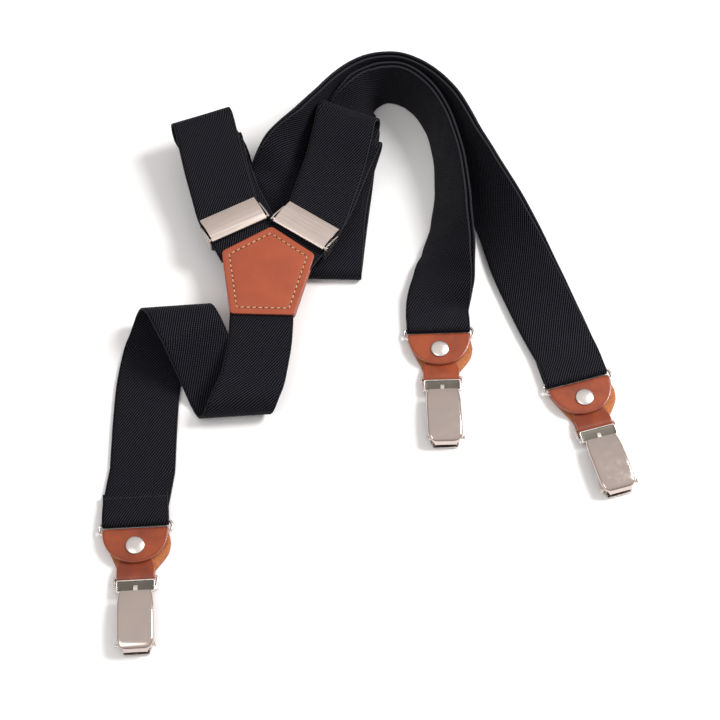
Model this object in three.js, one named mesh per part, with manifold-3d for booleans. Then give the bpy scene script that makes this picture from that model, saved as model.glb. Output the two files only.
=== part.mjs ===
// Y-back suspenders, laid folded on a table. Millimetres, +Z up, +Y along the longest side.
// The straps are drawn in the table's own frame and moved by SHIFT, so that the
// origin is at the centre of the underside of the whole bundle.
import * as THREE from "three";
import Module from "manifold-3d";

const wasm = await Module();
wasm.setup();
const { Manifold, Mesh } = wasm;

// ---------------------------------------------------------------- driving sizes
const SHIFT = [-4.89, -6.66, -0.08];
const WEB_W = 35; // webbing width
const WEB_T = 1.4; // webbing thickness
const LAYER = 2.2; // centre to centre of the two layers of a front strap
const GAP = 0.3; // clearance between pieces that only rest on each other
const LEATHER_T = 1.4; // yoke leather
const YOKE_Z = 18; // height of the yoke's middle layer
const TAB_T = 1.6; // leather of the clip ends
const WIRE_R = 0.8; // wire of rings and bails
const FOLD_R = WIRE_R + GAP + TAB_T / 2; // centre line of leather round a wire
const WEB_FOLD_R = WIRE_R + GAP + WEB_T / 2;
const RING_Z = 0.3 + TAB_T / 2 + FOLD_R; // height of the ring wire over the table
const RING_HALF = 3.2; // half the distance between the ring's two long bars
const BAIL_TOP = -28; // bail bar in the leather neck, from the ring's centre
const BAIL_LOW = -35.8; // bail bar in the clip
const TAB_HALF = 17.2; // half width of the D flap
const NECK_HALF = 9.8; // half width of the leather neck
const BOX_Z = [4.95, 5.7]; // stamped box of the bail
const [BOX_LOW, BOX_TOP] = [-36.9, -30.25];
const RIVET_Y = -11.2;
const PIN_Y = -66; // hinge pin of the clip's lever
const PIN_Z = 5.6;
const SLIDER_HALF = 18.6; // half the slider's outer width

const GREY = 0xb2a59e;
const COLOURS = { webbing: 0x141418, leather: 0xb0562f, metal: GREY, pad: 0x2a2a2c };

const root = new THREE.Group();
root.name = "suspenders";

function add(name, geometry, colour, roughness = 0.6, metalness = 0) {
  const material = new THREE.MeshStandardMaterial({ color: colour, roughness, metalness });
  const mesh = new THREE.Mesh(geometry, material);
  mesh.name = name;
  root.add(mesh);
  return mesh;
}

// ---------------------------------------------------------------- solids
function toSolid(geometry) {
  const flat = geometry.index ? geometry.toNonIndexed() : geometry;
  const p = flat.getAttribute("position");
  const keys = new Map();
  const verts = [];
  const tris = [];
  for (let i = 0; i < p.count; i++) {
    const v = [p.getX(i), p.getY(i), p.getZ(i)];
    const key = v.map((c) => Math.round(c * 1e4)).join(",");
    if (!keys.has(key)) {
      keys.set(key, verts.length / 3);
      verts.push(...v);
    }
    tris.push(keys.get(key));
  }
  const mesh = new Mesh({
    numProp: 3,
    vertProperties: new Float32Array(verts),
    triVerts: new Uint32Array(tris),
  });
  return new Manifold(mesh);
}

function toGeometry(solid) {
  const m = solid.getMesh();
  const points = new Float32Array(m.numVert * 3);
  for (let i = 0; i < m.numVert; i++) {
    for (let k = 0; k < 3; k++) points[i * 3 + k] = m.vertProperties[i * m.numProp + k];
  }
  const g = new THREE.BufferGeometry();
  g.setAttribute("position", new THREE.BufferAttribute(points, 3));
  g.setIndex(new THREE.BufferAttribute(new Uint32Array(m.triVerts), 1));
  return g.toNonIndexed();
}

const V = (x, y, z) => new THREE.Vector3(x, y, z);

// A flat band swept along stations { c: centre, w: unit vector across, half: half width }.
// A station with a `spot` says itself where each point across the band lies.
function bandGeometry(stations, thick, columns = 1) {
  const rings = stations.map((s, i) => {
    const a = stations[Math.max(0, i - 1)].c;
    const b = stations[Math.min(stations.length - 1, i + 1)].c;
    const along = b.clone().sub(a).normalize();
    const across = s.w.clone().addScaledVector(along, -s.w.dot(along)).normalize();
    const up = along.clone().cross(across).normalize();
    const h = s.half ?? WEB_W / 2;
    const flat = (x) => ({ c: s.c.clone().addScaledVector(across, x), up });
    const spot = s.spot ?? flat;
    const shares = Array.from({ length: columns + 1 }, (_, k) => -1 + (2 * k) / columns);
    const at = (x, z) => {
      const here = spot(x * h);
      return here.c.addScaledVector(here.up, (z * thick) / 2);
    };
    return [...shares.map((x) => at(x, -1)), ...shares.reverse().map((x) => at(x, 1))];
  });
  const points = [];
  const face = (a, b, c) => points.push(...a.toArray(), ...b.toArray(), ...c.toArray());
  const n = 2 * columns + 2;
  for (let i = 0; i + 1 < rings.length; i++) {
    for (let k = 0; k < n; k++) {
      const l = (k + 1) % n;
      face(rings[i][k], rings[i][l], rings[i + 1][l]);
      face(rings[i][k], rings[i + 1][l], rings[i + 1][k]);
    }
  }
  const [first, last] = [rings[0], rings[rings.length - 1]];
  for (let k = 0; k < columns; k++) {
    const [low, high] = [k, n - 1 - k];
    face(first[low], first[high - 1], first[low + 1]);
    face(first[low], first[high], first[high - 1]);
    face(last[low], last[low + 1], last[high - 1]);
    face(last[low], last[high - 1], last[high]);
  }
  const g = new THREE.BufferGeometry();
  g.setAttribute("position", new THREE.BufferAttribute(new Float32Array(points), 3));
  if (toSolid(g).volume() > 0) return g;
  const p = g.getAttribute("position");
  for (let i = 0; i < p.count; i += 3) {
    const [b, c] = [V(0, 0, 0).fromBufferAttribute(p, i + 1), V(0, 0, 0).fromBufferAttribute(p, i + 2)];
    p.setXYZ(i + 1, c.x, c.y, c.z);
    p.setXYZ(i + 2, b.x, b.y, b.z);
  }
  return g;
}

// A station of webbing: centre, plan angle of the width in degrees, and its tilt.
function st(x, y, z, plan, tilt = 0, drop = LAYER, slip = 0) {
  const [a, t] = [(plan * Math.PI) / 180, (tilt * Math.PI) / 180];
  const w = V(Math.cos(a) * Math.cos(t), Math.sin(a) * Math.cos(t), Math.sin(t));
  return { c: V(x, y, z), w, drop, slip };
}

// The stations joined by a smooth curve, `step` millimetres apart.
function smooth(list, step = 5) {
  const line = new THREE.CatmullRomCurve3(list.map((s) => s.c), false, "centripetal");
  const out = [];
  for (let i = 0; i + 1 < list.length; i++) {
    const length = list[i].c.distanceTo(list[i + 1].c);
    const count = Math.max(1, Math.round(length / step));
    for (let k = 0; k < count; k++) {
      const f = k / count;
      const g = f * f * (3 - 2 * f);
      const mix = (a, b) => a + (b - a) * f;
      out.push({
        c: line.getPoint((i + f) / (list.length - 1)),
        w: list[i].w.clone().lerp(list[i + 1].w, list.length > 2 ? f * 0.5 + g * 0.5 : f).normalize(),
        drop: mix(list[i].drop, list[i + 1].drop),
        slip: mix(list[i].slip, list[i + 1].slip),
      });
    }
  }
  const end = list[list.length - 1];
  out.push({ c: end.c.clone(), w: end.w.clone(), drop: end.drop, slip: end.slip });
  return out;
}

// The second layer: the same run moved to the back face, in the opposite order.
function under(run) {
  return run
    .map((s, i) => {
      const a = run[Math.max(0, i - 1)].c;
      const b = run[Math.min(run.length - 1, i + 1)].c;
      const along = b.clone().sub(a).normalize();
      const across = s.w.clone().addScaledVector(along, -s.w.dot(along)).normalize();
      const up = along.clone().cross(across);
      const c = s.c.clone().addScaledVector(up, -s.drop).addScaledVector(across, s.slip);
      return { c, w: s.w.clone(), drop: s.drop, slip: s.slip };
    })
    .reverse();
}

// A doubled run raised where the lower edge of its back layer would be in the table.
function settled(run) {
  const back = under(run).reverse();
  run.forEach((s, i) => {
    const tilt = Math.abs(s.w.z);
    const least = 0.3 + (WEB_T / 2) * Math.sqrt(1 - tilt * tilt) + (WEB_W / 2) * tilt;
    s.c.z += Math.max(0, least - back[i].c.z);
  });
  return run;
}

// ---------------------------------------------------------------- frames of the clip ends
// x runs across the strap, y from the clip towards the strap, z up.
function frameAt(x, y, turn) {
  const a = (turn * Math.PI) / 180;
  return new THREE.Matrix4().makeRotationZ(a).setPosition(x, y, 0);
}
const ENDS = {
  back: frameAt(-117.4, -102, 3.5),
  left: frameAt(43.5, 15, 2),
  right: frameAt(118.5, -15.5, 16),
};
const at = (frame, x, y, z) => V(x, y, z).applyMatrix4(frame);
const turned = (frame, x, y, z) => V(x, y, z).transformDirection(frame);

// Webbing round the upper bar of a ring: top layer in, bottom layer out.
function ringFold(frame) {
  const w = turned(frame, 1, 0, 0);
  const list = [];
  for (let i = 0; i <= 8; i++) {
    const a = Math.PI / 2 + (Math.PI * i) / 8;
    const y = RING_HALF + WEB_FOLD_R * Math.cos(a);
    list.push({ c: at(frame, 0, y, RING_Z + WEB_FOLD_R * Math.sin(a)), w: w.clone() });
  }
  return list;
}

// A half turn of webbing on a lying cylinder, from width angle w0 to w1. The strap heads
// `side` times 90 degrees from its width. A slanted turn moves along the cylinder.
function curl(x, y, zFrom, zTo, side, w0, w1, count = 6) {
  const rad = Math.PI / 180;
  const axisAngle = ((w0 + w1) / 2) * rad;
  const slant = ((w0 - w1) / 2) * rad;
  const r = (zFrom - zTo) / 2;
  const axis = V(Math.cos(axisAngle), Math.sin(axisAngle), 0);
  const u = V(-Math.sin(axisAngle) * side, Math.cos(axisAngle) * side, 0);
  const list = [];
  for (let i = 0; i <= count; i++) {
    const t = (Math.PI * i) / count;
    const c = V(x, y, (zFrom + zTo) / 2 + r * Math.cos(t));
    c.addScaledVector(u, r * Math.sin(t));
    c.addScaledVector(axis, -side * Math.tan(slant) * r * t);
    const round = u.clone().multiplyScalar(Math.cos(t)).add(V(0, 0, -Math.sin(t)));
    const w = axis.clone().multiplyScalar(Math.cos(slant));
    w.addScaledVector(round, side * Math.sin(slant));
    list.push({ c, w, drop: LAYER, slip: 0 });
  }
  return list;
}

// A slanted half turn of webbing that follows a lying cylinder over its whole width.
// It starts and ends with `lead` millimetres of flat web.
function wrap(x, y, zFrom, zTo, side, w0, w1, pitch = 2.8, lead = 3) {
  const rad = Math.PI / 180;
  const axisAngle = ((w0 + w1) / 2) * rad;
  const slant = ((w0 - w1) / 2) * rad;
  const r = (zFrom - zTo) / 2;
  const axis = V(Math.cos(axisAngle), Math.sin(axisAngle), 0);
  const u = V(-Math.sin(axisAngle) * side, Math.cos(axisAngle) * side, 0);
  const spotAt = (s, across) => {
    const a = -side * s * Math.sin(slant) + across * Math.cos(slant);
    const b = s * Math.cos(slant) + across * side * Math.sin(slant);
    const t = Math.min(Math.max(b / r, 0), Math.PI);
    const c = V(x, y, (zFrom + zTo) / 2 + r * Math.cos(t));
    c.addScaledVector(u, r * Math.sin(t) + (b - t * r) * Math.cos(t)).addScaledVector(axis, a);
    const out = u.clone().multiplyScalar(Math.sin(t)).add(V(0, 0, Math.cos(t)));
    return { c, up: out.multiplyScalar(-side) };
  };
  const reach = (WEB_W / 2) * Math.tan(Math.abs(slant)) + lead;
  const total = (Math.PI * r) / Math.cos(slant) + 2 * reach;
  const count = Math.ceil(total / pitch);
  return Array.from({ length: count + 1 }, (_, i) => {
    const s = -reach + (total * i) / count;
    const w = spotAt(s, 1).c.sub(spotAt(s, -1).c).normalize();
    return { c: spotAt(s, 0).c, w, drop: LAYER, slip: 0, spot: (across) => spotAt(s, across) };
  });
}

// ---------------------------------------------------------------- sliders
// Slider frames: origin in the middle of the strap that runs through, y towards the loop.
function sliderFrame(x, y, turn) {
  const a = (turn * Math.PI) / 180;
  return new THREE.Matrix4().makeRotationZ(a).setPosition(x, y, YOKE_Z);
}
const SLIDERS = { left: sliderFrame(-70.3, 77, 28), right: sliderFrame(-31, 73.2, -34) };
const REAR_Z = -3.6; // rear bar, below the strap
const REAR_Y = -5;

// The sewn end of a front strap's lower layer, folded round the slider's rear bar.
function rearFold(frame) {
  const w = turned(frame, -1, 0, 0);
  const list = [
    { c: at(frame, 0, 7, REAR_Z + WEB_FOLD_R), w },
    { c: at(frame, 0, 1, REAR_Z + WEB_FOLD_R), w },
  ];
  for (let i = 0; i <= 8; i++) {
    const a = Math.PI / 2 + (Math.PI * i) / 8;
    const y = REAR_Y + WEB_FOLD_R * Math.cos(a);
    list.push({ c: at(frame, 0, y, REAR_Z + WEB_FOLD_R * Math.sin(a)), w });
  }
  list.push({ c: at(frame, 0, 8, REAR_Z - WEB_FOLD_R), w });
  return list;
}

// ---------------------------------------------------------------- strap courses
// Plan angles: 180 is a width that points west, with the strap heading north.
function sliderRun(frame, turn) {
  const list = [-19, -10, 0, 9].map((y) => at(frame, 0, y, 0));
  return list.map((p) => st(p.x, p.y, p.z, 180 + turn));
}

const ringTop = RING_Z + WEB_FOLD_R;

const rightFront = [
  ...sliderRun(SLIDERS.right, -34),
  st(-20.5, 97, 19, 180 - 24),
  st(-14, 117, 23, 180 - 20),
  st(-10, 133, 28.8, 180 - 26),
];
const rightLoopTop = curl(-7.6, 143.6, 32, 22, -1, 180 - 29, 180 - 16);
const rightBack = [
  st(-10.2, 130, 18.6, 180 - 12),
  st(-13, 113, 13.6, 180 - 7),
  st(-15.5, 95, 8.6, 180 - 4),
  st(-16.2, 76, 5.6, 180 - 3),
  st(-16.6, 62, 5.2, 180 - 3),
];
const rightTurn = curl(-16.8, 54, 5.2, 3.1, 1, 180 - 3, 180);
const innerArch = [
  st(-15.5, 65, 3.1, 180, 0),
  st(-14, 80, 3.1, 180 - 3, 0),
  st(-12, 98, 3.2, 180 - 4, 0),
  st(-10.2, 112, 3.8, 180 - 4, 3),
  st(-8.5, 127, 5.2, 180 - 9, 7, 2.3),
  st(-6.5, 141, 8, 180 - 16, 16, 2.8),
  st(-3.2, 154.6, 14.2, 180 - 28, 42, 4.4),
  st(2.4, 164.6, 17.6, 180 - 45, 70, 4.6),
  st(8.5, 171.5, 18.2, 180 - 60, 85, 3.6),
  st(16, 174.5, 18.3, 90, 90, 3),
  st(24, 173.3, 18.3, 60, 88, 3),
  st(32.5, 167, 18.3, 45, 86, 3),
  st(41, 154.5, 18.2, 28, 82, 2.8),
  st(47, 136, 18, 12, 76, 2.6),
  st(50.4, 110, 17, 0, 67, 2.6),
  st(50, 84, 15.4, -8, 57, 3.2),
  st(48, 62, 12.4, -12, 40, 4.4),
  st(45.8, 46, 8.2, -8, 19, 4.6),
];
const leftFront = [
  ...sliderRun(SLIDERS.left, 28),
  st(-78.2, 97.5, 18.8, 180 + 21),
  st(-83.4, 116, 21.5, 180 + 20),
  st(-87.6, 133.5, 24, 180 + 21),
];
const leftLoopTop = curl(-90.2, 143.6, 26, 15, -1, 180 + 24, 180 + 17);
const leftBack = [
  st(-81.9, 128, 13, 180 + 18),
  st(-76.8, 108, 12.4, 180 + 20),
  st(-70.5, 88, 8.4, 180 + 22),
  st(-61.5, 72, 5.6, 180 + 18),
];
const leftTurn = curl(-57, 60, 5.5, 3.4, 1, 180 + 12, 180);
const outerArch = [
  st(-56.5, 70, 3.4, 180, 0),
  st(-55, 84, 3.4, 180 - 4, 0),
  st(-52, 98, 3.8, 180 - 12, 1, 2.6),
  st(-47.6, 111, 7.4, 180 - 24, 14, 3.8),
  st(-40.3, 126.6, 16, 180 - 34, 46, 4.4),
  st(-29, 142.5, 18.1, 180 - 40, 72, 3.8),
  st(-19.5, 158, 18.3, 180 - 42, 83, 2.8),
  st(-8, 171.5, 18.3, 180 - 50, 87, 3),
  st(3.5, 179.3, 18.3, 180 - 68, 89, 3),
  st(16, 182, 18.3, 90, 90, 3),
  st(25, 180.6, 18.3, 68, 89, 3),
  st(36, 174.5, 18.3, 55, 88, 3),
  st(46, 164.5, 18.3, 45, 86, 3),
  st(54, 152, 18.2, 34, 83, 2.8),
  st(61, 133, 17.8, 25, 77, 2.6),
  st(67.5, 114, 16.8, 25, 64, 2.4),
  st(79.5, 83, 13.6, 26, 45, 2.4, 1),
  st(93.5, 47, 8.6, 24, 22, 2.4, 1.2),
  st(104.8, 20.5, 5.4, 20, 9, 2.4, 1.2),
  st(112.3, 4, 4.6, 17, 2, 2.6, 0.6),
];

const rightB = [
  st(-21, 92, 16.4, 180 - 28),
  st(-15, 108, 18.4, 180 - 22),
  st(-9.5, 122, 21.6, 180 - 20),
  ...curl(-5, 130.5, 26, 21.4, -1, 180 - 20, 180 - 12),
  st(-8.5, 118, 17.8, 180 - 9),
  st(-12, 104, 13.6, 180 - 6),
  st(-14.5, 88, 9.6, 180 - 4),
  st(-15.4, 72, 7.5, 180 - 3),
];
const rightTurnB = curl(-16.4, 54, 7.4, 1, 1, 180 - 3, 180);
const leftB = [
  st(-77, 97, 16.4, 180 + 20),
  st(-80.8, 111, 18.2, 180 + 20),
  ...curl(-84.4, 131, 21.2, 16.6, -1, 180 + 20, 180 + 18),
  st(-80, 116, 15.8, 180 + 18),
  st(-74.9, 101, 13.8, 180 + 19),
  st(-67.5, 86, 10.2, 180 + 20),
  st(-60.5, 72, 7.8, 180 + 18),
];
const leftTurnB = curl(-56.5, 60, 7.8, 1.2, 1, 180 + 12, 180);

const backCourse = [
  st(-53.8, 50, YOKE_Z, 0),
  st(-53.8, 34, YOKE_Z, 0),
  st(-53.8, 19, YOKE_Z, 0),
  st(-54.4, 3, 16.6, -4),
  st(-56, -9, 15.4, -13),
];
const backTurn = wrap(-61.6, -30.4, 15, 1.4, -1, -20, 28);
const backMiddle = [
  st(-83.4, -7.5, 10.6, 25),
];
const backTop = wrap(-95.8, 15.2, 22.5, 1.5, 1, 27, -18);
const backEnd = [
  st(-114.2, -6, 1.5, -9),
  st(-115.4, -18, 1.5, -4),
  st(-115.9, -37, 1.5, 0),
  st(-115.8, -68, 1.5, 2),
];

// The back strap: from the yoke by two half turns to the ring, round it and sewn to itself.
function backStrap() {
  const f = ENDS.back;
  const run = [
    ...smooth([...backCourse, backTurn[0], backTurn[1]], 4).slice(0, -2),
    ...backTurn,
    ...smooth([...backTurn.slice(-2), ...backMiddle, ...backTop.slice(0, 2)], 4).slice(2, -2),
    ...backTop,
    ...smooth([...backTop.slice(-2), ...backEnd], 4).slice(2),
  ];
  const w = turned(f, 1, 0, 0);
  const lift = [
    { c: at(f, 0, 14, 1.5), w },
  ];
  const fold = ringFold(f).reverse();
  const tail = [
    { c: at(f, 0, 8, RING_Z + WEB_FOLD_R - 0.3), w },
    { c: at(f, 0, 14, 3.5), w, half: 17.2 },
    { c: at(f, 0, 19.5, 3.45), w, half: 17.2 },
  ];
  return [...run, ...lift, ...fold, ...tail];
}

// A front strap is one long doubled piece: yoke, slider, loop, arch, ring and back again.
function frontStrap(parts) {
  const { front, loop, back, turn, arch, frame, end, endTurn, b, bTurn } = parts;
  const near = (y, z) => {
    const p = at(end, 0, y, z);
    return st(p.x, p.y, p.z, endTurn, 0, 2 * (z - RING_Z));
  };
  const lead = [near(15, ringTop - 0.2), near(8, ringTop)];
  const wholeArch = [...arch, ...lead];
  const archRun = settled(smooth(wholeArch, 5));
  const top = smooth([...front, ...loop, ...back, ...turn, arch[0]], 5).slice(0, -1);
  const low = under(archRun);
  const sewn = rearFold(frame);
  const backwards = [...b, ...bTurn].reverse();
  const rest = smooth([...low.slice(-1), ...backwards, ...sewn.slice(0, 1)], 5);
  return [...top, ...archRun, ...ringFold(end), ...low, ...rest.slice(1), ...sewn.slice(1)];
}

add("back_strap", bandGeometry(backStrap(), WEB_T, 6), COLOURS.webbing);

const yokeAxis = V(-50.4, 77, YOKE_Z);
const rightPath = frontStrap({
  front: rightFront, loop: rightLoopTop, back: rightBack, turn: rightTurn, arch: innerArch,
  frame: SLIDERS.right, end: ENDS.left, endTurn: 2, b: rightB, bTurn: rightTurnB,
});
const leftPath = frontStrap({
  front: leftFront, loop: leftLoopTop, back: leftBack, turn: leftTurn, arch: outerArch,
  frame: SLIDERS.left, end: ENDS.right, endTurn: 16, b: leftB, bTurn: leftTurnB,
});

// Inside the yoke the two front straps meet on its middle line.
function halfSpace(side) {
  const box = new THREE.BoxGeometry(60, 60, 6);
  box.translate(side * 29.85, -12, 0);
  box.rotateZ((-2 * Math.PI) / 180);
  box.translate(yokeAxis.x, yokeAxis.y, yokeAxis.z);
  return toSolid(box);
}
const rightSolid = toSolid(bandGeometry(rightPath, WEB_T)).subtract(halfSpace(-1));
const leftSolid = toSolid(bandGeometry(leftPath, WEB_T)).subtract(halfSpace(1));
add("right_strap", toGeometry(rightSolid), COLOURS.webbing);
add("left_strap", toGeometry(leftSolid), COLOURS.webbing);

// ---------------------------------------------------------------- yoke
const YOKE = [
  [-49.6, 74.6],
  [-77, 58],
  [-71, 18],
  [-35.8, 17],
  [-25, 56],
];
function roundedOutline(points, radius) {
  const shape = new THREE.Shape();
  points.forEach((p, i) => {
    const before = new THREE.Vector2(...points[(i + points.length - 1) % points.length]);
    const after = new THREE.Vector2(...points[(i + 1) % points.length]);
    const here = new THREE.Vector2(...p);
    const a = here.clone().add(before.sub(here).setLength(radius));
    const b = here.clone().add(after.sub(here).setLength(radius));
    if (i === 0) shape.moveTo(a.x, a.y);
    else shape.lineTo(a.x, a.y);
    shape.quadraticCurveTo(here.x, here.y, b.x, b.y);
  });
  shape.closePath();
  return shape;
}
function slab(shape, z0, z1, curveSegments = 4) {
  const g = new THREE.ExtrudeGeometry(shape, { depth: z1 - z0, bevelEnabled: false, curveSegments });
  g.translate(0, 0, z0);
  return g;
}
const inner = WEB_T / 2 + GAP;
const yokeShape = roundedOutline(YOKE, 2.2);
add("yoke_front_leather", slab(yokeShape, YOKE_Z + inner, YOKE_Z + inner + LEATHER_T), COLOURS.leather);
add("yoke_back_leather", slab(yokeShape, YOKE_Z - inner - LEATHER_T, YOKE_Z - inner), COLOURS.leather);

// ---------------------------------------------------------------- small shapes
function box(x0, x1, y0, y1, z0, z1) {
  const g = new THREE.BoxGeometry(x1 - x0, y1 - y0, z1 - z0);
  g.translate((x0 + x1) / 2, (y0 + y1) / 2, (z0 + z1) / 2);
  return toSolid(g);
}
function rodX(x0, x1, y, z, r, sides = 14) {
  const g = new THREE.CylinderGeometry(r, r, x1 - x0, sides);
  g.rotateZ(Math.PI / 2);
  g.translate((x0 + x1) / 2, y, z);
  return toSolid(g);
}
function union(list) {
  return list.reduce((a, b) => a.add(b));
}
function place(solid, frame) {
  const g = toGeometry(solid);
  g.applyMatrix4(frame);
  return g;
}

// A closed loop of wire: a rounded rectangle in the plane z, bars at y0 and y1.
function wireLoop(halfTop, halfLow, y0, y1, z, r, corner = 1.9, sides = 8) {
  const half = (y) => halfLow + ((halfTop - halfLow) * (y - y0)) / (y1 - y0);
  const corners = [
    [half(y0), y0],
    [half(y1), y1],
    [-half(y1), y1],
    [-half(y0), y0],
  ];
  const path = [];
  corners.forEach((p, i) => {
    const here = new THREE.Vector2(...p);
    const before = new THREE.Vector2(...corners[(i + 3) % 4]).sub(here).setLength(corner);
    const after = new THREE.Vector2(...corners[(i + 1) % 4]).sub(here).setLength(corner);
    const [a, b] = [here.clone().add(before), here.clone().add(after)];
    for (let k = 0; k <= 3; k++) {
      const t = k / 3;
      const q = a.clone().multiplyScalar((1 - t) * (1 - t));
      q.addScaledVector(here, 2 * t * (1 - t)).addScaledVector(b, t * t);
      path.push(V(q.x, q.y, z));
    }
  });
  const n = path.length;
  const rings = path.map((p, i) => {
    const along = path[(i + 1) % n].clone().sub(path[(i + n - 1) % n]).normalize();
    const out = V(along.y, -along.x, 0);
    return Array.from({ length: sides }, (_, k) => {
      const a = (2 * Math.PI * (k + 0.5)) / sides;
      return p.clone().addScaledVector(out, r * Math.cos(a)).add(V(0, 0, r * Math.sin(a)));
    });
  });
  const points = [];
  for (let i = 0; i < n; i++) {
    const [a, b] = [rings[i], rings[(i + 1) % n]];
    for (let k = 0; k < sides; k++) {
      const l = (k + 1) % sides;
      points.push(a[k], b[l], a[l], a[k], b[k], b[l]);
    }
  }
  const g = new THREE.BufferGeometry().setFromPoints(points);
  if (toSolid(g).volume() < 0) {
    for (let i = 0; i < points.length; i += 3) {
      [points[i + 1], points[i + 2]] = [points[i + 2], points[i + 1]];
    }
    g.setFromPoints(points);
  }
  return g;
}

// ---------------------------------------------------------------- sliders
function slider(side, frame) {
  const wall = 0.8;
  const [x1, x0] = [SLIDER_HALF, SLIDER_HALF - wall];
  const sideShape = new THREE.Shape();
  sideShape.moveTo(-6.6, -4.8);
  sideShape.lineTo(-2.4, -4.8);
  sideShape.lineTo(6, -1.4);
  sideShape.lineTo(6, 1.6);
  sideShape.lineTo(-2.6, 4.6);
  sideShape.lineTo(-6.6, 4.6);
  sideShape.closePath();
  const wallAt = (x) => {
    const g = new THREE.ExtrudeGeometry(sideShape, { depth: wall, bevelEnabled: false });
    g.rotateY(Math.PI / 2);
    g.rotateX(Math.PI / 2);
    g.translate(x, 0, 0);
    return toSolid(g);
  };
  const pinHole = rodX(-30, 30, -5, 3.1, 1.1);
  const walls = union([wallAt(x0), wallAt(-x1)]).subtract(pinHole);
  const rear = rodX(-x1 + 0.2, x1 - 0.2, REAR_Y, REAR_Z, WIRE_R, 12);
  add("slider_frame_" + side, place(walls.add(rear), frame), COLOURS.metal, 0.3, 1);
  const pin = rodX(-x1 - 0.3, x1 + 0.3, -5, 3.1, 0.8, 12);
  add("slider_pin_" + side, place(pin, frame), COLOURS.metal, 0.3, 1);
  const half = 16.8;
  const plate = new THREE.Shape();
  plate.moveTo(-6.6, 3.9);
  plate.lineTo(-5.6, 4.6);
  plate.lineTo(1.6, 4.9);
  plate.lineTo(9.6, 3.3);
  plate.lineTo(9.6, 2.2);
  plate.lineTo(1.6, 3.8);
  plate.lineTo(-3.2, 3.6);
  plate.lineTo(-4.2, 1.7);
  plate.lineTo(-5.8, 1.7);
  plate.lineTo(-6.6, 2.6);
  plate.closePath();
  const g = new THREE.ExtrudeGeometry(plate, { depth: 2 * half, bevelEnabled: false });
  g.rotateY(Math.PI / 2);
  g.rotateX(Math.PI / 2);
  g.translate(-half, 0, 0);
  const lever = toSolid(g).subtract(pinHole);
  add("slider_lever_" + side, place(lever, frame), COLOURS.metal, 0.3, 1);
}
slider("left", SLIDERS.left);
slider("right", SLIDERS.right);

// ---------------------------------------------------------------- clip ends
// The leather strip: D flap on top, over the ring, down the back, round the bail, up again.
function tabStations() {
  const list = [];
  const w = V(1, 0, 0);
  const topZ = RING_Z + FOLD_R;
  const lowZ = RING_Z - FOLD_R;
  const midZ = lowZ + TAB_T + GAP;
  const push = (y, z, half, x = 0) => list.push({ c: V(x, y, z), w, half });
  const reach = 20.4 - RING_HALF;
  for (let i = 0; i <= 8; i++) {
    const f = i / 8;
    const y = -20.4 + reach * (1 - Math.cos((f * Math.PI) / 2)) * 0.999;
    push(y, topZ, 3.2 + (TAB_HALF - 3.2) * Math.sin((f * Math.PI) / 2) ** 0.85);
  }
  for (let i = 1; i <= 7; i++) {
    const a = Math.PI / 2 - (Math.PI * i) / 8;
    push(-RING_HALF + FOLD_R * Math.cos(a), RING_Z + FOLD_R * Math.sin(a), TAB_HALF);
  }
  push(-RING_HALF, lowZ, TAB_HALF);
  push(-9, lowZ, 16.8, 1.5);
  push(-15, lowZ, 14.9, 2.1);
  push(-20, lowZ, 12.1, 1.4);
  push(-24, lowZ, 9.9, 0.2);
  push(BAIL_TOP, lowZ, NECK_HALF);
  for (let i = 1; i <= 7; i++) {
    const a = -Math.PI / 2 - (Math.PI * i) / 8;
    push(BAIL_TOP + FOLD_R * Math.cos(a), RING_Z + FOLD_R * Math.sin(a), NECK_HALF);
  }
  push(BAIL_TOP, topZ, NECK_HALF);
  push(-25.4, topZ - 0.5, NECK_HALF);
  push(-21.5, midZ + 0.2, 9.3);
  push(-18.5, midZ, 8.6);
  push(-8, midZ, 8.4);
  return list;
}

function latheX(points) {
  return new THREE.LatheGeometry(points.map((p) => new THREE.Vector2(...p)), 20).rotateX(Math.PI / 2);
}

// The stamped box on the bail's lower half: a shallow tray with a small tab in its middle.
function bailBox() {
  const legs = [1, -1].map((side) =>
    box(side * 9.8 - 0.6, side * 9.8 + 0.6, -36.2, -33.2, RING_Z, 5.2),
  );
  const outside = toSolid(slab(rectangle(10, BOX_LOW, BOX_TOP, 1.2), BOX_Z[0], BOX_Z[1]));
  const inside = toSolid(slab(rectangle(9.4, BOX_LOW + 0.6, BOX_TOP - 0.6, 0.8), BOX_Z[0] + 0.3, 9));
  const tongue = box(-1.1, 1.1, BOX_LOW + 0.5, -33.2, BOX_Z[0] + 0.2, BOX_Z[1] - 0.1);
  return union([outside.subtract(inside), ...legs, tongue]);
}

function rectangle(half, y0, y1, corner) {
  return roundedOutline([[-half, y0], [half, y0], [half, y1], [-half, y1]], corner);
}

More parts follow.
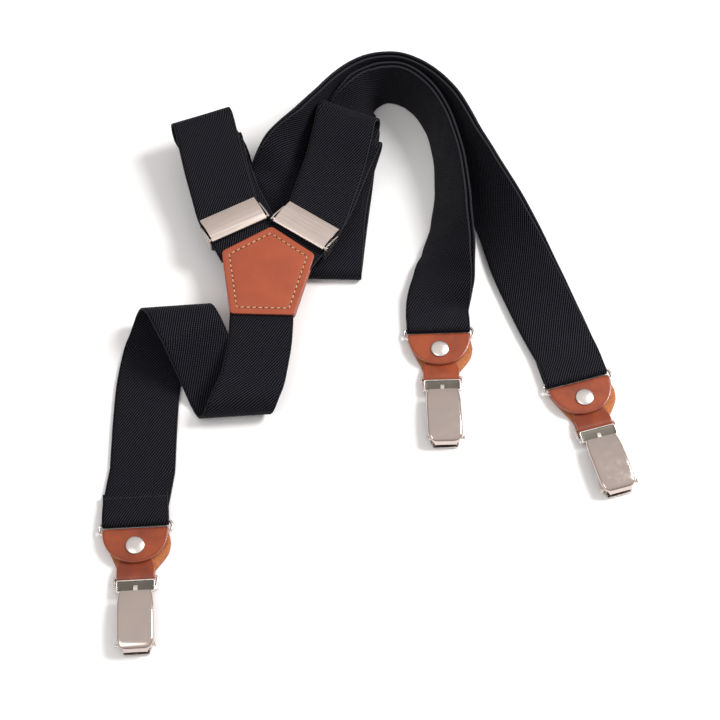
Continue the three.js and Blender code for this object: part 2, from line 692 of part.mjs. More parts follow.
function clipEnd(end, frame) {
  const metal = (name, solid, rough = 0.25) =>
    add(name + "_" + end, place(solid, frame), COLOURS.metal, rough, 1);
  const ring = wireLoop(19.1, 19.1, -RING_HALF, RING_HALF, RING_Z, WIRE_R, 2.8);
  metal("ring", toSolid(ring));
  const hole = new THREE.CylinderGeometry(1.5, 1.5, 20, 16);
  hole.rotateX(Math.PI / 2);
  hole.translate(0, RIVET_Y, 0);
  const tab = toSolid(bandGeometry(tabStations(), TAB_T)).subtract(toSolid(hole));
  add("leather_tab_" + end, place(tab, frame), COLOURS.leather);
  const top = RING_Z + FOLD_R + TAB_T / 2 + 0.1;
  const low = RING_Z - FOLD_R + TAB_T / 2;
  const rivet = latheX([
    [0, low - 1.5], [1.2, low - 1.5], [1.2, top], [4.9, top], [5, top + 0.3],
    [4.4, top + 0.9], [3, top + 1.35], [1.4, top + 1.55], [0, top + 1.6],
  ]);
  rivet.translate(0, RIVET_Y, 0);
  metal("rivet", toSolid(rivet));
  const bail = wireLoop(11.4, 10.2, BAIL_LOW, BAIL_TOP, RING_Z, WIRE_R, 1.6);
  metal("bail", toSolid(bail).add(bailBox()));
  clip(end, frame, metal);
}

const CLIP_TOP = -37; // upper end of the cover
const CLIP_TIP = -69.2; // tip of the cover
function clip(end, frame, metal) {
  const plateZ = [0.5, 1.2];
  const shape = new THREE.Shape();
  shape.moveTo(-6.4, BAIL_LOW);
  shape.lineTo(6.4, BAIL_LOW);
  shape.lineTo(7.8, -41);
  shape.lineTo(7.8, -66);
  shape.lineTo(6.4, -69.6);
  shape.lineTo(-6.4, -69.6);
  shape.lineTo(-7.8, -66);
  shape.lineTo(-7.8, -41);
  shape.closePath();
  const plate = toSolid(slab(shape, plateZ[0], plateZ[1]));
  const hookOut = WIRE_R + GAP + 0.55;
  const hookRing = rodX(-6.4, 6.4, BAIL_LOW, RING_Z, hookOut, 18).subtract(
    rodX(-20, 20, BAIL_LOW, RING_Z, WIRE_R + GAP, 18),
  );
  const web = box(-6.4, 6.4, BAIL_LOW - hookOut, BAIL_LOW - hookOut + 0.55, plateZ[0], RING_Z);
  const ear = (x) => rodX(x, x + 0.7, PIN_Y, PIN_Z, 1.65, 16).add(
    box(x, x + 0.7, PIN_Y - 1.4, PIN_Y + 1.4, plateZ[0], PIN_Z),
  );
  const teeth = box(-6.4, 6.4, -69.6, -69, plateZ[0], 1.75);
  let body = union([plate, hookRing, web, ear(6.6), ear(-7.3), teeth]);
  body = body.subtract(rodX(-20, 20, PIN_Y, PIN_Z, 1.1, 16));
  metal("clip_body", body, 0.35);
  const pad = box(-6, 6, -68.7, -60, plateZ[1] + 0.01, plateZ[1] + 0.5);
  add("clip_pad_" + end, place(pad, frame), COLOURS.pad, 0.8, 0);
  const pin = union([
    rodX(-9.8, 9.8, PIN_Y, PIN_Z, 0.8, 14),
    rodX(-10.3, -9.8, PIN_Y, PIN_Z, 1.3, 14),
    rodX(9.8, 10.3, PIN_Y, PIN_Z, 1.3, 14),
  ]);
  metal("clip_pin", pin);
  // The cover: side profile in y and z, then cut to its outline seen from above.
  const crown = 9.1;
  const side = [
    [CLIP_TOP, 7.6], [-44, 8.5], [-52, crown], [-60, crown - 0.1], [-66.2, crown - 0.5],
    [-68.5, crown - 1.9], [CLIP_TIP, crown - 4.8],
  ];
  const skin = new THREE.Shape();
  side.forEach(([y, z], i) => (i ? skin.lineTo(y, z) : skin.moveTo(y, z)));
  skin.lineTo(CLIP_TIP + 0.8, crown - 4.8);
  skin.lineTo(-67.8, crown - 2.3);
  skin.lineTo(-65.9, crown - 1.3);
  [...side].reverse().slice(3).forEach(([y, z]) => skin.lineTo(y, z - 0.8));
  skin.closePath();
  const swept = new THREE.ExtrudeGeometry(skin, { depth: 24, bevelEnabled: false });
  swept.rotateY(Math.PI / 2);
  swept.rotateX(Math.PI / 2);
  swept.translate(-12, 0, 0);
  const flank = new THREE.Shape();
  side.forEach(([y, z], i) => (i ? flank.lineTo(y, z) : flank.moveTo(y, z)));
  flank.lineTo(-67.6, PIN_Z - 1.7);
  flank.lineTo(-63, PIN_Z - 1.9);
  flank.lineTo(-58, crown - 3.2);
  flank.lineTo(CLIP_TOP, 5.9);
  flank.closePath();
  const flankAt = (x) => {
    const g = new THREE.ExtrudeGeometry(flank, { depth: 0.8, bevelEnabled: false });
    g.rotateY(Math.PI / 2);
    g.rotateX(Math.PI / 2);
    g.translate(x, 0, 0);
    return toSolid(g);
  };
  const outline = new THREE.Shape();
  outline.moveTo(-8.6, CLIP_TOP + 0.1);
  outline.lineTo(8.6, CLIP_TOP + 0.1);
  outline.lineTo(9.5, -44);
  outline.lineTo(9.5, -63);
  outline.lineTo(8.9, -67);
  outline.lineTo(7.4, CLIP_TIP - 0.1);
  outline.lineTo(-7.4, CLIP_TIP - 0.1);
  outline.lineTo(-8.9, -67);
  outline.lineTo(-9.5, -63);
  outline.lineTo(-9.5, -44);
  outline.closePath();
  const cutter = toSolid(slab(outline, 0, 20));
  let cover = union([toSolid(swept), flankAt(8.7), flankAt(-9.5)]).intersect(cutter);
  cover = cover.subtract(rodX(-20, 20, PIN_Y, PIN_Z, 1.1, 16));
  // The curl at the tip is narrow enough to turn in between the two ears.
  cover = cover.subtract(union([box(6.3, 12, -70, -66.9, 0, 6.5), box(-12, -6.3, -70, -66.9, 0, 6.5)]));
  metal("clip_lever", cover, 0.12);
}
for (const [end, frame] of Object.entries(ENDS)) clipEnd(end, frame);

root.children.forEach((mesh) => mesh.geometry.translate(...SHIFT));
export default root;
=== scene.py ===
# Suspenders laid folded on a pale table. Shapes are in millimetres until a mesh is made of them.
# Materials, camera, lights and table are in metres.
import math

import bpy
import bmesh
from mathutils import Matrix, Vector


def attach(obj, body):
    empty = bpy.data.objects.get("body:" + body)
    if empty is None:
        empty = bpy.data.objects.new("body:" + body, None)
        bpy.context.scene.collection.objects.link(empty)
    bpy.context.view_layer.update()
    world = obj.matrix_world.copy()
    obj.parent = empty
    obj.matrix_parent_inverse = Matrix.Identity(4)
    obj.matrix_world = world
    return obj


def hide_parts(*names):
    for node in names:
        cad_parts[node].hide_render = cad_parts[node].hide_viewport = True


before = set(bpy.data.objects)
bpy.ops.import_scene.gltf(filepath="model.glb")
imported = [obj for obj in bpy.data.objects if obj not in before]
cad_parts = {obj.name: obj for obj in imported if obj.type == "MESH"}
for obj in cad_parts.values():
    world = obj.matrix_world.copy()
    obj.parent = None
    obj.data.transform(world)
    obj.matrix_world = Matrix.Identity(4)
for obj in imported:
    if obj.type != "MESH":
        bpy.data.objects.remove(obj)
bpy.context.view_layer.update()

# ---------------------------------------------------------------- sizes shared with the CAD part
SHIFT = Vector((-4.89, -6.66, -0.08))
WEB_W = 35
WEB_T = 1.4
LAYER = 2.2
GAP = 0.3
LEATHER_T = 1.4
YOKE_Z = 18
TAB_T = 1.6
WIRE_R = 0.8
FOLD_R = WIRE_R + GAP + TAB_T / 2
WEB_FOLD_R = WIRE_R + GAP + WEB_T / 2
RING_Z = 0.3 + TAB_T / 2 + FOLD_R
RING_HALF = 3.2
BAIL_TOP = -28
BAIL_LOW = -35.8
NECK_HALF = 9.8
BOX_Z = (4.95, 5.7)
BOX_Y = (-36.9, -30.25)
BOX_HALF = 10
RIVET_Y = -11.2
REAR_Z = -3.6
REAR_Y = -5
SEWN_HALF = 17.2
MM = 0.001

# ---------------------------------------------------------------- camera
CAMERA_REACH = Vector((0, -0.5071, 0.9149))  # metres from the point aimed at, 61 degrees above the table

scene = bpy.context.scene
view_data = bpy.data.cameras.new("camera")
view_data.lens = 95
view_data.sensor_width = 36
camera = bpy.data.objects.new("camera", view_data)
scene.collection.objects.link(camera)
aim = SHIFT * MM
camera.location = aim + CAMERA_REACH
camera.rotation_euler = (aim - camera.location).to_track_quat("-Z", "Y").to_euler()
scene.camera = camera
scene.view_settings.view_transform = "Standard"


# ---------------------------------------------------------------- strap stations
class Station:
    """A place on a strap: its centre, the direction across, and how far down and aside its lower layer is.

    spot is set where the web is laid round a cylinder, and gives the surface at a distance across.
    """

    def __init__(self, c, w, drop=LAYER, slip=0.0, spot=None, half=WEB_W / 2):
        self.c = Vector(c)
        self.w = Vector(w)
        self.drop = drop
        self.slip = slip
        self.spot = spot
        self.half = half


def st(x, y, z, plan, tilt=0.0, drop=LAYER, slip=0.0):
    a = math.radians(plan)
    t = math.radians(tilt)
    w = (math.cos(a) * math.cos(t), math.sin(a) * math.cos(t), math.sin(t))
    return Station((x, y, z), w, drop, slip)


# A centripetal Catmull-Rom curve from p1 to p2.
def centripetal(p0, p1, p2, p3, f):
    d = [max((b - a).length, 1e-4) ** 0.5 for a, b in ((p0, p1), (p1, p2), (p2, p3))]
    if d[0] < 1e-2:
        d[0] = d[1]
    if d[2] < 1e-2:
        d[2] = d[1]
    t1 = (p1 - p0) / d[0] - (p2 - p0) / (d[0] + d[1]) + (p2 - p1) / d[1]
    t2 = (p2 - p1) / d[1] - (p3 - p1) / (d[1] + d[2]) + (p3 - p2) / d[2]
    t1 *= d[1]
    t2 *= d[1]
    a = 2 * p1 - 2 * p2 + t1 + t2
    b = -3 * p1 + 3 * p2 - 2 * t1 - t2
    return a * f**3 + b * f**2 + t1 * f + p1


def smooth(stations, step):
    out = []
    n = len(stations)
    pts = [s.c for s in stations]
    for i in range(n - 1):
        before = pts[i - 1] if i > 0 else 2 * pts[0] - pts[1]
        after = pts[i + 2] if i + 2 < n else 2 * pts[-1] - pts[-2]
        count = max(1, round((pts[i + 1] - pts[i]).length / step))
        a, b = stations[i], stations[i + 1]
        for k in range(count):
            f = k / count
            g = f * f * (3 - 2 * f)
            mix = f * 0.5 + g * 0.5 if n > 2 else f
            c = centripetal(before, pts[i], pts[i + 1], after, f)
            w = a.w.lerp(b.w, mix).normalized()
            drop = a.drop + (b.drop - a.drop) * f
            slip = a.slip + (b.slip - a.slip) * f
            out.append(Station(c, w, drop, slip))
    end = stations[-1]
    out.append(Station(end.c, end.w, end.drop, end.slip))
    return out


def axes_of(run, i):
    a = run[max(0, i - 1)].c
    b = run[min(len(run) - 1, i + 1)].c
    along = (b - a).normalized()
    across = (run[i].w - along * run[i].w.dot(along)).normalized()
    return along, across, along.cross(across).normalized()


# The lower layer of a doubled strap, in the opposite order.
def under(run):
    back = []
    for i, s in enumerate(run):
        along, across, up = axes_of(run, i)
        back.append(Station(s.c - up * s.drop + across * s.slip, s.w, s.drop, s.slip))
    return back[::-1]


# The run lifted wherever its lower layer would go through the table.
def settled(run):
    back = under(run)[::-1]
    for i, s in enumerate(run):
        tilt = abs(s.w.z)
        least = 0.3 + (WEB_T / 2) * math.sqrt(1 - tilt * tilt) + (WEB_W / 2) * tilt
        s.c.z += max(0, least - back[i].c.z)
    return run


def frame_at(x, y, turn, z=0.0):
    return Matrix.Translation((x, y, z)) @ Matrix.Rotation(math.radians(turn), 4, "Z")


END_TURN = {"back": 3.5, "left": 2, "right": 16}
SLIDER_TURN = {"left": 28, "right": -34}
ENDS = {
    "back": frame_at(-117.4, -102, END_TURN["back"]),
    "left": frame_at(43.5, 15, END_TURN["left"]),
    "right": frame_at(118.5, -15.5, END_TURN["right"]),
}
SLIDERS = {
    "left": frame_at(-70.3, 77, SLIDER_TURN["left"], YOKE_Z),
    "right": frame_at(-31, 73.2, SLIDER_TURN["right"], YOKE_Z),
}


# The half turn of a strap round its ring.
def ring_fold(place, count=16):
    w = place.to_3x3() @ Vector((1, 0, 0))
    out = []
    for i in range(count + 1):
        a = math.pi / 2 + math.pi * i / count
        y = RING_HALF + WEB_FOLD_R * math.cos(a)
        out.append(Station(place @ Vector((0, y, RING_Z + WEB_FOLD_R * math.sin(a))), w))
    return out


# Slant, radius, axis and outward direction of a half turn between the directions across w0 and w1.
def turn_axes(z_from, z_to, side, w0, w1):
    axis_angle = math.radians((w0 + w1) / 2)
    slant = math.radians((w0 - w1) / 2)
    r = (z_from - z_to) / 2
    axis = Vector((math.cos(axis_angle), math.sin(axis_angle), 0))
    u = Vector((-math.sin(axis_angle) * side, math.cos(axis_angle) * side, 0))
    return slant, r, axis, u


# A half turn as stations along its middle line, each straight across.
def curl(x, y, z_from, z_to, side, w0, w1, count=12):
    slant, r, axis, u = turn_axes(z_from, z_to, side, w0, w1)
    out = []
    for i in range(count + 1):
        t = math.pi * i / count
        c = Vector((x, y, (z_from + z_to) / 2 + r * math.cos(t)))
        c += u * (r * math.sin(t)) - axis * (side * math.tan(slant) * r * t)
        turn = u * math.cos(t) - Vector((0, 0, math.sin(t)))
        out.append(Station(c, axis * math.cos(slant) + turn * (side * math.sin(slant))))
    return out


# A half turn with every point across laid round a cylinder, for a web that crosses it at a slant.
def wrap(x, y, z_from, z_to, side, w0, w1, pitch=1.4, lead=3):
    slant, r, axis, u = turn_axes(z_from, z_to, side, w0, w1)

    def spot_at(s, across):
        a = -side * s * math.sin(slant) + across * math.cos(slant)
        b = s * math.cos(slant) + across * side * math.sin(slant)
        t = min(max(b / r, 0), math.pi)
        c = Vector((x, y, (z_from + z_to) / 2 + r * math.cos(t)))
        c += u * (r * math.sin(t) + (b - t * r) * math.cos(t)) + axis * a
        out = u * math.sin(t) + Vector((0, 0, math.cos(t)))
        return c, out * -side

    def station(s):
        w = (spot_at(s, 1)[0] - spot_at(s, -1)[0]).normalized()
        return Station(spot_at(s, 0)[0], w, spot=lambda across: spot_at(s, across))

    reach = (WEB_W / 2) * math.tan(abs(slant)) + lead
    total = (math.pi * r) / math.cos(slant) + 2 * reach
    count = math.ceil(total / pitch)
    return [station(-reach + total * i / count) for i in range(count + 1)]


# The end of a front strap, sewn round the rear bar of its slider.
def rear_fold(place, count=16):
    w = place.to_3x3() @ Vector((-1, 0, 0))
    spots = [(7, REAR_Z + WEB_FOLD_R), (1, REAR_Z + WEB_FOLD_R)]
    for i in range(count + 1):
        a = math.pi / 2 + math.pi * i / count
        spots.append((REAR_Y + WEB_FOLD_R * math.cos(a), REAR_Z + WEB_FOLD_R * math.sin(a)))
    spots.append((8, REAR_Z - WEB_FOLD_R))
    return [Station(place @ Vector((0, y, z)), w) for y, z in spots]


# The stretch of a front strap that runs through its slider.
def slider_run(side):
    out = []
    for y in (-19, -10, 0, 9):
        p = SLIDERS[side] @ Vector((0, y, 0))
        out.append(st(p.x, p.y, p.z, 180 + SLIDER_TURN[side]))
    return out


# ---------------------------------------------------------------- the folded courses, as in the CAD part
# Each front strap: up from its slider, over the loop, down, round a turn and out along its arch.
RIGHT_FRONT = [
    *slider_run("right"),
    st(-20.5, 97, 19, 180 - 24),
    st(-14, 117, 23, 180 - 20),
    st(-10, 133, 28.8, 180 - 26),
]
RIGHT_LOOP_TOP = curl(-7.6, 143.6, 32, 22, -1, 180 - 29, 180 - 16)
RIGHT_BACK = [
    st(-10.2, 130, 18.6, 180 - 12),
    st(-13, 113, 13.6, 180 - 7),
    st(-15.5, 95, 8.6, 180 - 4),
    st(-16.2, 76, 5.6, 180 - 3),
    st(-16.6, 62, 5.2, 180 - 3),
]
RIGHT_TURN = curl(-16.8, 54, 5.2, 3.1, 1, 180 - 3, 180)
INNER_ARCH = [
    st(-15.5, 65, 3.1, 180, 0),
    st(-14, 80, 3.1, 180 - 3, 0),
    st(-12, 98, 3.2, 180 - 4, 0),
    st(-10.2, 112, 3.8, 180 - 4, 3),
    st(-8.5, 127, 5.2, 180 - 9, 7, 2.3),
    st(-6.5, 141, 8, 180 - 16, 16, 2.8),
    st(-3.2, 154.6, 14.2, 180 - 28, 42, 4.4),
    st(2.4, 164.6, 17.6, 180 - 45, 70, 4.6),
    st(8.5, 171.5, 18.2, 180 - 60, 85, 3.6),
    st(16, 174.5, 18.3, 90, 90, 3),
    st(24, 173.3, 18.3, 60, 88, 3),
    st(32.5, 167, 18.3, 45, 86, 3),
    st(41, 154.5, 18.2, 28, 82, 2.8),
    st(47, 136, 18, 12, 76, 2.6),
    st(50.4, 110, 17, 0, 67, 2.6),
    st(50, 84, 15.4, -8, 57, 3.2),
    st(48, 62, 12.4, -12, 40, 4.4),
    st(45.8, 46, 8.2, -8, 19, 4.6),
]
LEFT_FRONT = [
    *slider_run("left"),
    st(-78.2, 97.5, 18.8, 180 + 21),
    st(-83.4, 116, 21.5, 180 + 20),
    st(-87.6, 133.5, 24, 180 + 21),
]
LEFT_LOOP_TOP = curl(-90.2, 143.6, 26, 15, -1, 180 + 24, 180 + 17)
LEFT_BACK = [
    st(-81.9, 128, 13, 180 + 18),
    st(-76.8, 108, 12.4, 180 + 20),
    st(-70.5, 88, 8.4, 180 + 22),
    st(-61.5, 72, 5.6, 180 + 18),
]
LEFT_TURN = curl(-57, 60, 5.5, 3.4, 1, 180 + 12, 180)
OUTER_ARCH = [
    st(-56.5, 70, 3.4, 180, 0),
    st(-55, 84, 3.4, 180 - 4, 0),
    st(-52, 98, 3.8, 180 - 12, 1, 2.6),
    st(-47.6, 111, 7.4, 180 - 24, 14, 3.8),
    st(-40.3, 126.6, 16, 180 - 34, 46, 4.4),
    st(-29, 142.5, 18.1, 180 - 40, 72, 3.8),
    st(-19.5, 158, 18.3, 180 - 42, 83, 2.8),
    st(-8, 171.5, 18.3, 180 - 50, 87, 3),
    st(3.5, 179.3, 18.3, 180 - 68, 89, 3),
    st(16, 182, 18.3, 90, 90, 3),
    st(25, 180.6, 18.3, 68, 89, 3),
    st(36, 174.5, 18.3, 55, 88, 3),
    st(46, 164.5, 18.3, 45, 86, 3),
    st(54, 152, 18.2, 34, 83, 2.8),
    st(61, 133, 17.8, 25, 77, 2.6),
    st(67.5, 114, 16.8, 25, 64, 2.4),
    st(79.5, 83, 13.6, 26, 45, 2.4, 1),
    st(93.5, 47, 8.6, 24, 22, 2.4, 1.2),
    st(104.8, 20.5, 5.4, 20, 9, 2.4, 1.2),
    st(112.3, 4, 4.6, 17, 2, 2.6, 0.6),
]

# The lower layer of each front strap where it runs its own way, from the slider to the lower turn.
RIGHT_LOWER = [
    st(-21, 92, 16.4, 180 - 28),
    st(-15, 108, 18.4, 180 - 22),
    st(-9.5, 122, 21.6, 180 - 20),
    *curl(-5, 130.5, 26, 21.4, -1, 180 - 20, 180 - 12),
    st(-8.5, 118, 17.8, 180 - 9),
    st(-12, 104, 13.6, 180 - 6),
    st(-14.5, 88, 9.6, 180 - 4),
    st(-15.4, 72, 7.5, 180 - 3),
]
RIGHT_LOWER_TURN = curl(-16.4, 54, 7.4, 1, 1, 180 - 3, 180)
LEFT_LOWER = [
    st(-77, 97, 16.4, 180 + 20),
    st(-80.8, 111, 18.2, 180 + 20),
    *curl(-84.4, 131, 21.2, 16.6, -1, 180 + 20, 180 + 18),
    st(-80, 116, 15.8, 180 + 18),
    st(-74.9, 101, 13.8, 180 + 19),
    st(-67.5, 86, 10.2, 180 + 20),
    st(-60.5, 72, 7.8, 180 + 18),
]
LEFT_LOWER_TURN = curl(-56.5, 60, 7.8, 1.2, 1, 180 + 12, 180)

# The back strap: from the yoke by two half turns to the ring, round it and sewn to itself.
BACK_COURSE = [
    st(-53.8, 50, YOKE_Z, 0),
    st(-53.8, 34, YOKE_Z, 0),
    st(-53.8, 19, YOKE_Z, 0),
    st(-54.4, 3, 16.6, -4),
    st(-56, -9, 15.4, -13),
]
BACK_TURN = wrap(-61.6, -30.4, 15, 1.4, -1, -20, 28)
BACK_MIDDLE = [
    st(-83.4, -7.5, 10.6, 25),
]
BACK_TOP = wrap(-95.8, 15.2, 22.5, 1.5, 1, 27, -18)
BACK_END = [
    st(-114.2, -6, 1.5, -9),
    st(-115.4, -18, 1.5, -4),
    st(-115.9, -37, 1.5, 0),
    st(-115.8, -68, 1.5, 2),
]

# Flat stations that lead a doubled strap into its ring.
def ring_lead(place, turn, spots):
    out = []
    for y, z in spots:
        p = place @ Vector((0, y, z))
        out.append(st(p.x, p.y, p.z, turn, 0, 2 * (z - RING_Z)))
    return out


STEP = 2.5  # from one station to the next


def back_path():
    place = ENDS["back"]
    w = place.to_3x3() @ Vector((1, 0, 0))
    run = smooth(BACK_COURSE + BACK_TURN[:2], STEP)[:-2] + BACK_TURN
    run += smooth(BACK_TURN[-2:] + BACK_MIDDLE + BACK_TOP[:2], STEP)[2:-2] + BACK_TOP
    run += smooth(BACK_TOP[-2:] + BACK_END, STEP)[2:]
    run.append(Station(place @ Vector((0, 14, 1.5)), w))
    run += ring_fold(place)[::-1]
    run.append(Station(place @ Vector((0, 8, RING_Z + WEB_FOLD_R - 0.3)), w))
    for y, z in ((14, 3.5), (17, 3.48), (19.5, 3.45)):
        run.append(Station(place @ Vector((0, y, z)), w, half=SEWN_HALF))
    return run


def front_path(slider, end, front, loop, back, turn, arch, lower, lower_turn):
    top_z = RING_Z + WEB_FOLD_R
    lead = ring_lead(ENDS[end], END_TURN[end], ((15, top_z - 0.2), (8, top_z)))
    arch_run = settled(smooth(arch + lead, STEP))
    top = smooth(front + loop + back + turn + [arch[0]], STEP)[:-1]
    low = under(arch_run)
    sewn = rear_fold(SLIDERS[slider])
    rest = smooth([low[-1]] + lower_turn[::-1] + lower[::-1] + sewn[:1], STEP)
    return top + arch_run + ring_fold(ENDS[end]) + low + rest[1:] + sewn[1:]


# ---------------------------------------------------------------- meshes
def new_object(name, verts, faces, material, attributes=None, angle=40):
    mesh = bpy.data.meshes.new(name)
    mesh.from_pydata([tuple((Vector(v) + SHIFT) * MM) for v in verts], [], faces)
    mesh.validate()
    for key, (kind, values) in (attributes or {}).items():
        layer = mesh.attributes.new(key, kind, "POINT")
        field = "value" if kind == "FLOAT" else "vector"
        flat = values if kind == "FLOAT" else [c for v in values for c in v]
        layer.data.foreach_set(field, flat)
    mesh.materials.append(material)
    obj = bpy.data.objects.new(name, mesh)
    scene.collection.objects.link(obj)
    smooth_by_angle(mesh, angle)
    return obj


def smooth_by_angle(mesh, angle):
    work = bmesh.new()
    work.from_mesh(mesh)
    bmesh.ops.recalc_face_normals(work, faces=work.faces)
    limit = math.radians(angle)
    for edge in work.edges:
        edge.smooth = len(edge.link_faces) == 2 and edge.calc_face_angle(0) < limit
    for face in work.faces:
        face.smooth = True
    work.to_mesh(mesh)
    work.free()


# A skin over rings of equally many points: closed at both ends, or joined from the last ring to the first.
def loft(rings, endless=False):
    verts = [v for ring in rings for v in ring]
    n = len(rings[0])
    faces = []
    for i in range(len(rings) if endless else len(rings) - 1):
        j = (i + 1) % len(rings)
        for k in range(n):
            m = (k + 1) % n
            faces.append((i * n + k, i * n + m, j * n + m, j * n + k))
    if not endless:
        last = (len(rings) - 1) * n
        faces.append(tuple(range(n - 1, -1, -1)))
        faces.append(tuple(last + k for k in range(n)))
    return verts, faces


# The outline of a polygon whose corners are cut back by a length and rounded.
def rounded_outline(corners, corner, segments):
    out = []
    for i, here in enumerate(corners):
        a = here + (corners[i - 1] - here).normalized() * corner
        b = here + (corners[(i + 1) % len(corners)] - here).normalized() * corner
        for k in range(segments + 1):
            t = k / segments
            out.append(a * (1 - t) ** 2 + here * (2 * t * (1 - t)) + b * t * t)
    return out


COLUMNS = 10
FLAT_SHARE = 0.972  # how much of the web's width is flat


# The section of the web: across as a share of the half width, and height in millimetres.
def web_profile():
    rows = [(-1 + 2 * k / COLUMNS) * FLAT_SHARE for k in range(COLUMNS + 1)]
    top = [(x, WEB_T / 2) for x in rows]
    low = [(x, -WEB_T / 2) for x in reversed(rows)]
    right = [(0.992, WEB_T * 0.4), (1.0, WEB_T * 0.15), (1.0, -WEB_T * 0.15), (0.992, -WEB_T * 0.4)]
    left = [(-x, -z) for x, z in right]
    return top + right + low + left


def web_object(name, run, material):
    profile = web_profile()
    rings = []
    weave = []
    gone = 0.0
    for i, s in enumerate(run):
        if i:
            gone += (s.c - run[i - 1].c).length
        along, across, up = axes_of(run, i)
        ring = []
        for x, z in profile:
            c, n = s.spot(x * s.half) if s.spot else (s.c + across * (x * s.half), up)
            ring.append(c + n * z)
        rings.append(ring)
        weave += [(gone * MM, x * WEB_W / 2 * MM, 1.0 if z > 0 else -1.0) for x, z in profile]
    verts, faces = loft(rings)
    obj = new_object(name, verts, faces, material, {"weave": ("FLOAT_VECTOR", weave)}, angle=50)
    return obj, gone * MM


# ---------------------------------------------------------------- materials
RIB_PITCH = 0.00122  # metres from one twill rib to the next
RIB_LEAN = (0.54, 0.84)  # how far the ribs step along and across the web
FLOAT_PITCH = 0.0013  # metres from one float of a rib to the next
WEFT_PITCH = 0.0011  # metres from one thread to the next along the edge
FIELD_EDGE = (0.0163, 0.0167)  # metres from the middle line, over which the ribs end
LIP_EDGE = (0.0168, 0.0171)  # metres from the middle line, over which the woven edge starts


class Nodes:
    def __init__(self, name):
        self.material = bpy.data.materials.new(name)
        self.material.use_nodes = True
        self.tree = self.material.node_tree
        self.shader = self.tree.nodes["Principled BSDF"]

    def node(self, kind, **settings):
        made = self.tree.nodes.new(kind)
        for key, value in settings.items():
            setattr(made, key, value)
        return made

    def join(self, source, target):
        self.tree.links.new(source, target)

    def feed(self, socket, value):
        if isinstance(value, bpy.types.NodeSocket):
            self.join(value, socket)
        else:
            socket.default_value = value

    def math(self, operation, a, b=0.0, clamp=False):
        made = self.node("ShaderNodeMath", operation=operation, use_clamp=clamp)
        self.feed(made.inputs[0], a)
        self.feed(made.inputs[1], b)
        return made.outputs[0]

    def step(self, value, low, high, to_low=0.0, to_high=1.0):
        made = self.node("ShaderNodeMapRange", interpolation_type="SMOOTHSTEP")
        self.feed(made.inputs["Value"], value)
        made.inputs["From Min"].default_value = low
        made.inputs["From Max"].default_value = high
        made.inputs["To Min"].default_value = to_low
        made.inputs["To Max"].default_value = to_high
        return made.outputs["Result"]

    def mix(self, factor, a, b):
        made = self.node("ShaderNodeMix", data_type="RGBA")
        self.feed(made.inputs["Factor"], factor)
        self.feed(made.inputs[6], a if isinstance(a, bpy.types.NodeSocket) else (*a, 1))
        self.feed(made.inputs[7], b if isinstance(b, bpy.types.NodeSocket) else (*b, 1))
        return made.outputs[2]

    def attribute(self, name, output="Fac"):
        return self.node("ShaderNodeAttribute", attribute_name=name).outputs[output]

    def place(self):
        return self.node("ShaderNodeTexCoord").outputs["Object"]

    def noise(self, vector, scale, detail=2.0, rough=0.5, stretch=None):
        if stretch:
            mapping = self.node("ShaderNodeMapping")
            self.join(vector, mapping.inputs["Vector"])
            mapping.inputs["Scale"].default_value = stretch
            vector = mapping.outputs[0]
        made = self.node("ShaderNodeTexNoise")
        self.join(vector, made.inputs["Vector"])
        made.inputs["Scale"].default_value = scale
        made.inputs["Detail"].default_value = detail
        made.inputs["Roughness"].default_value = rough
        return made.outputs["Fac"]

    def cells(self, vector, scale):
        made = self.node("ShaderNodeTexVoronoi")
        self.join(vector, made.inputs["Vector"])
        made.inputs["Scale"].default_value = scale
        return made.outputs["Distance"]

    def bump(self, height, distance, strength=1.0, under=None):
        made = self.node("ShaderNodeBump")
        self.join(height, made.inputs["Height"])
        made.inputs["Distance"].default_value = distance
        made.inputs["Strength"].default_value = strength
        if under:
            self.join(under, made.inputs["Normal"])
        return made.outputs["Normal"]

    def finish(self, colour=None, roughness=None, normal=None, **values):
        if colour is not None:
            self.join(colour, self.shader.inputs["Base Color"])
        if roughness is not None:
            self.feed(self.shader.inputs["Roughness"], roughness)
        if normal is not None:
            self.join(normal, self.shader.inputs["Normal"])
        for key, value in values.items():
            self.shader.inputs[key.replace("_", " ")].default_value = value
        return self.material


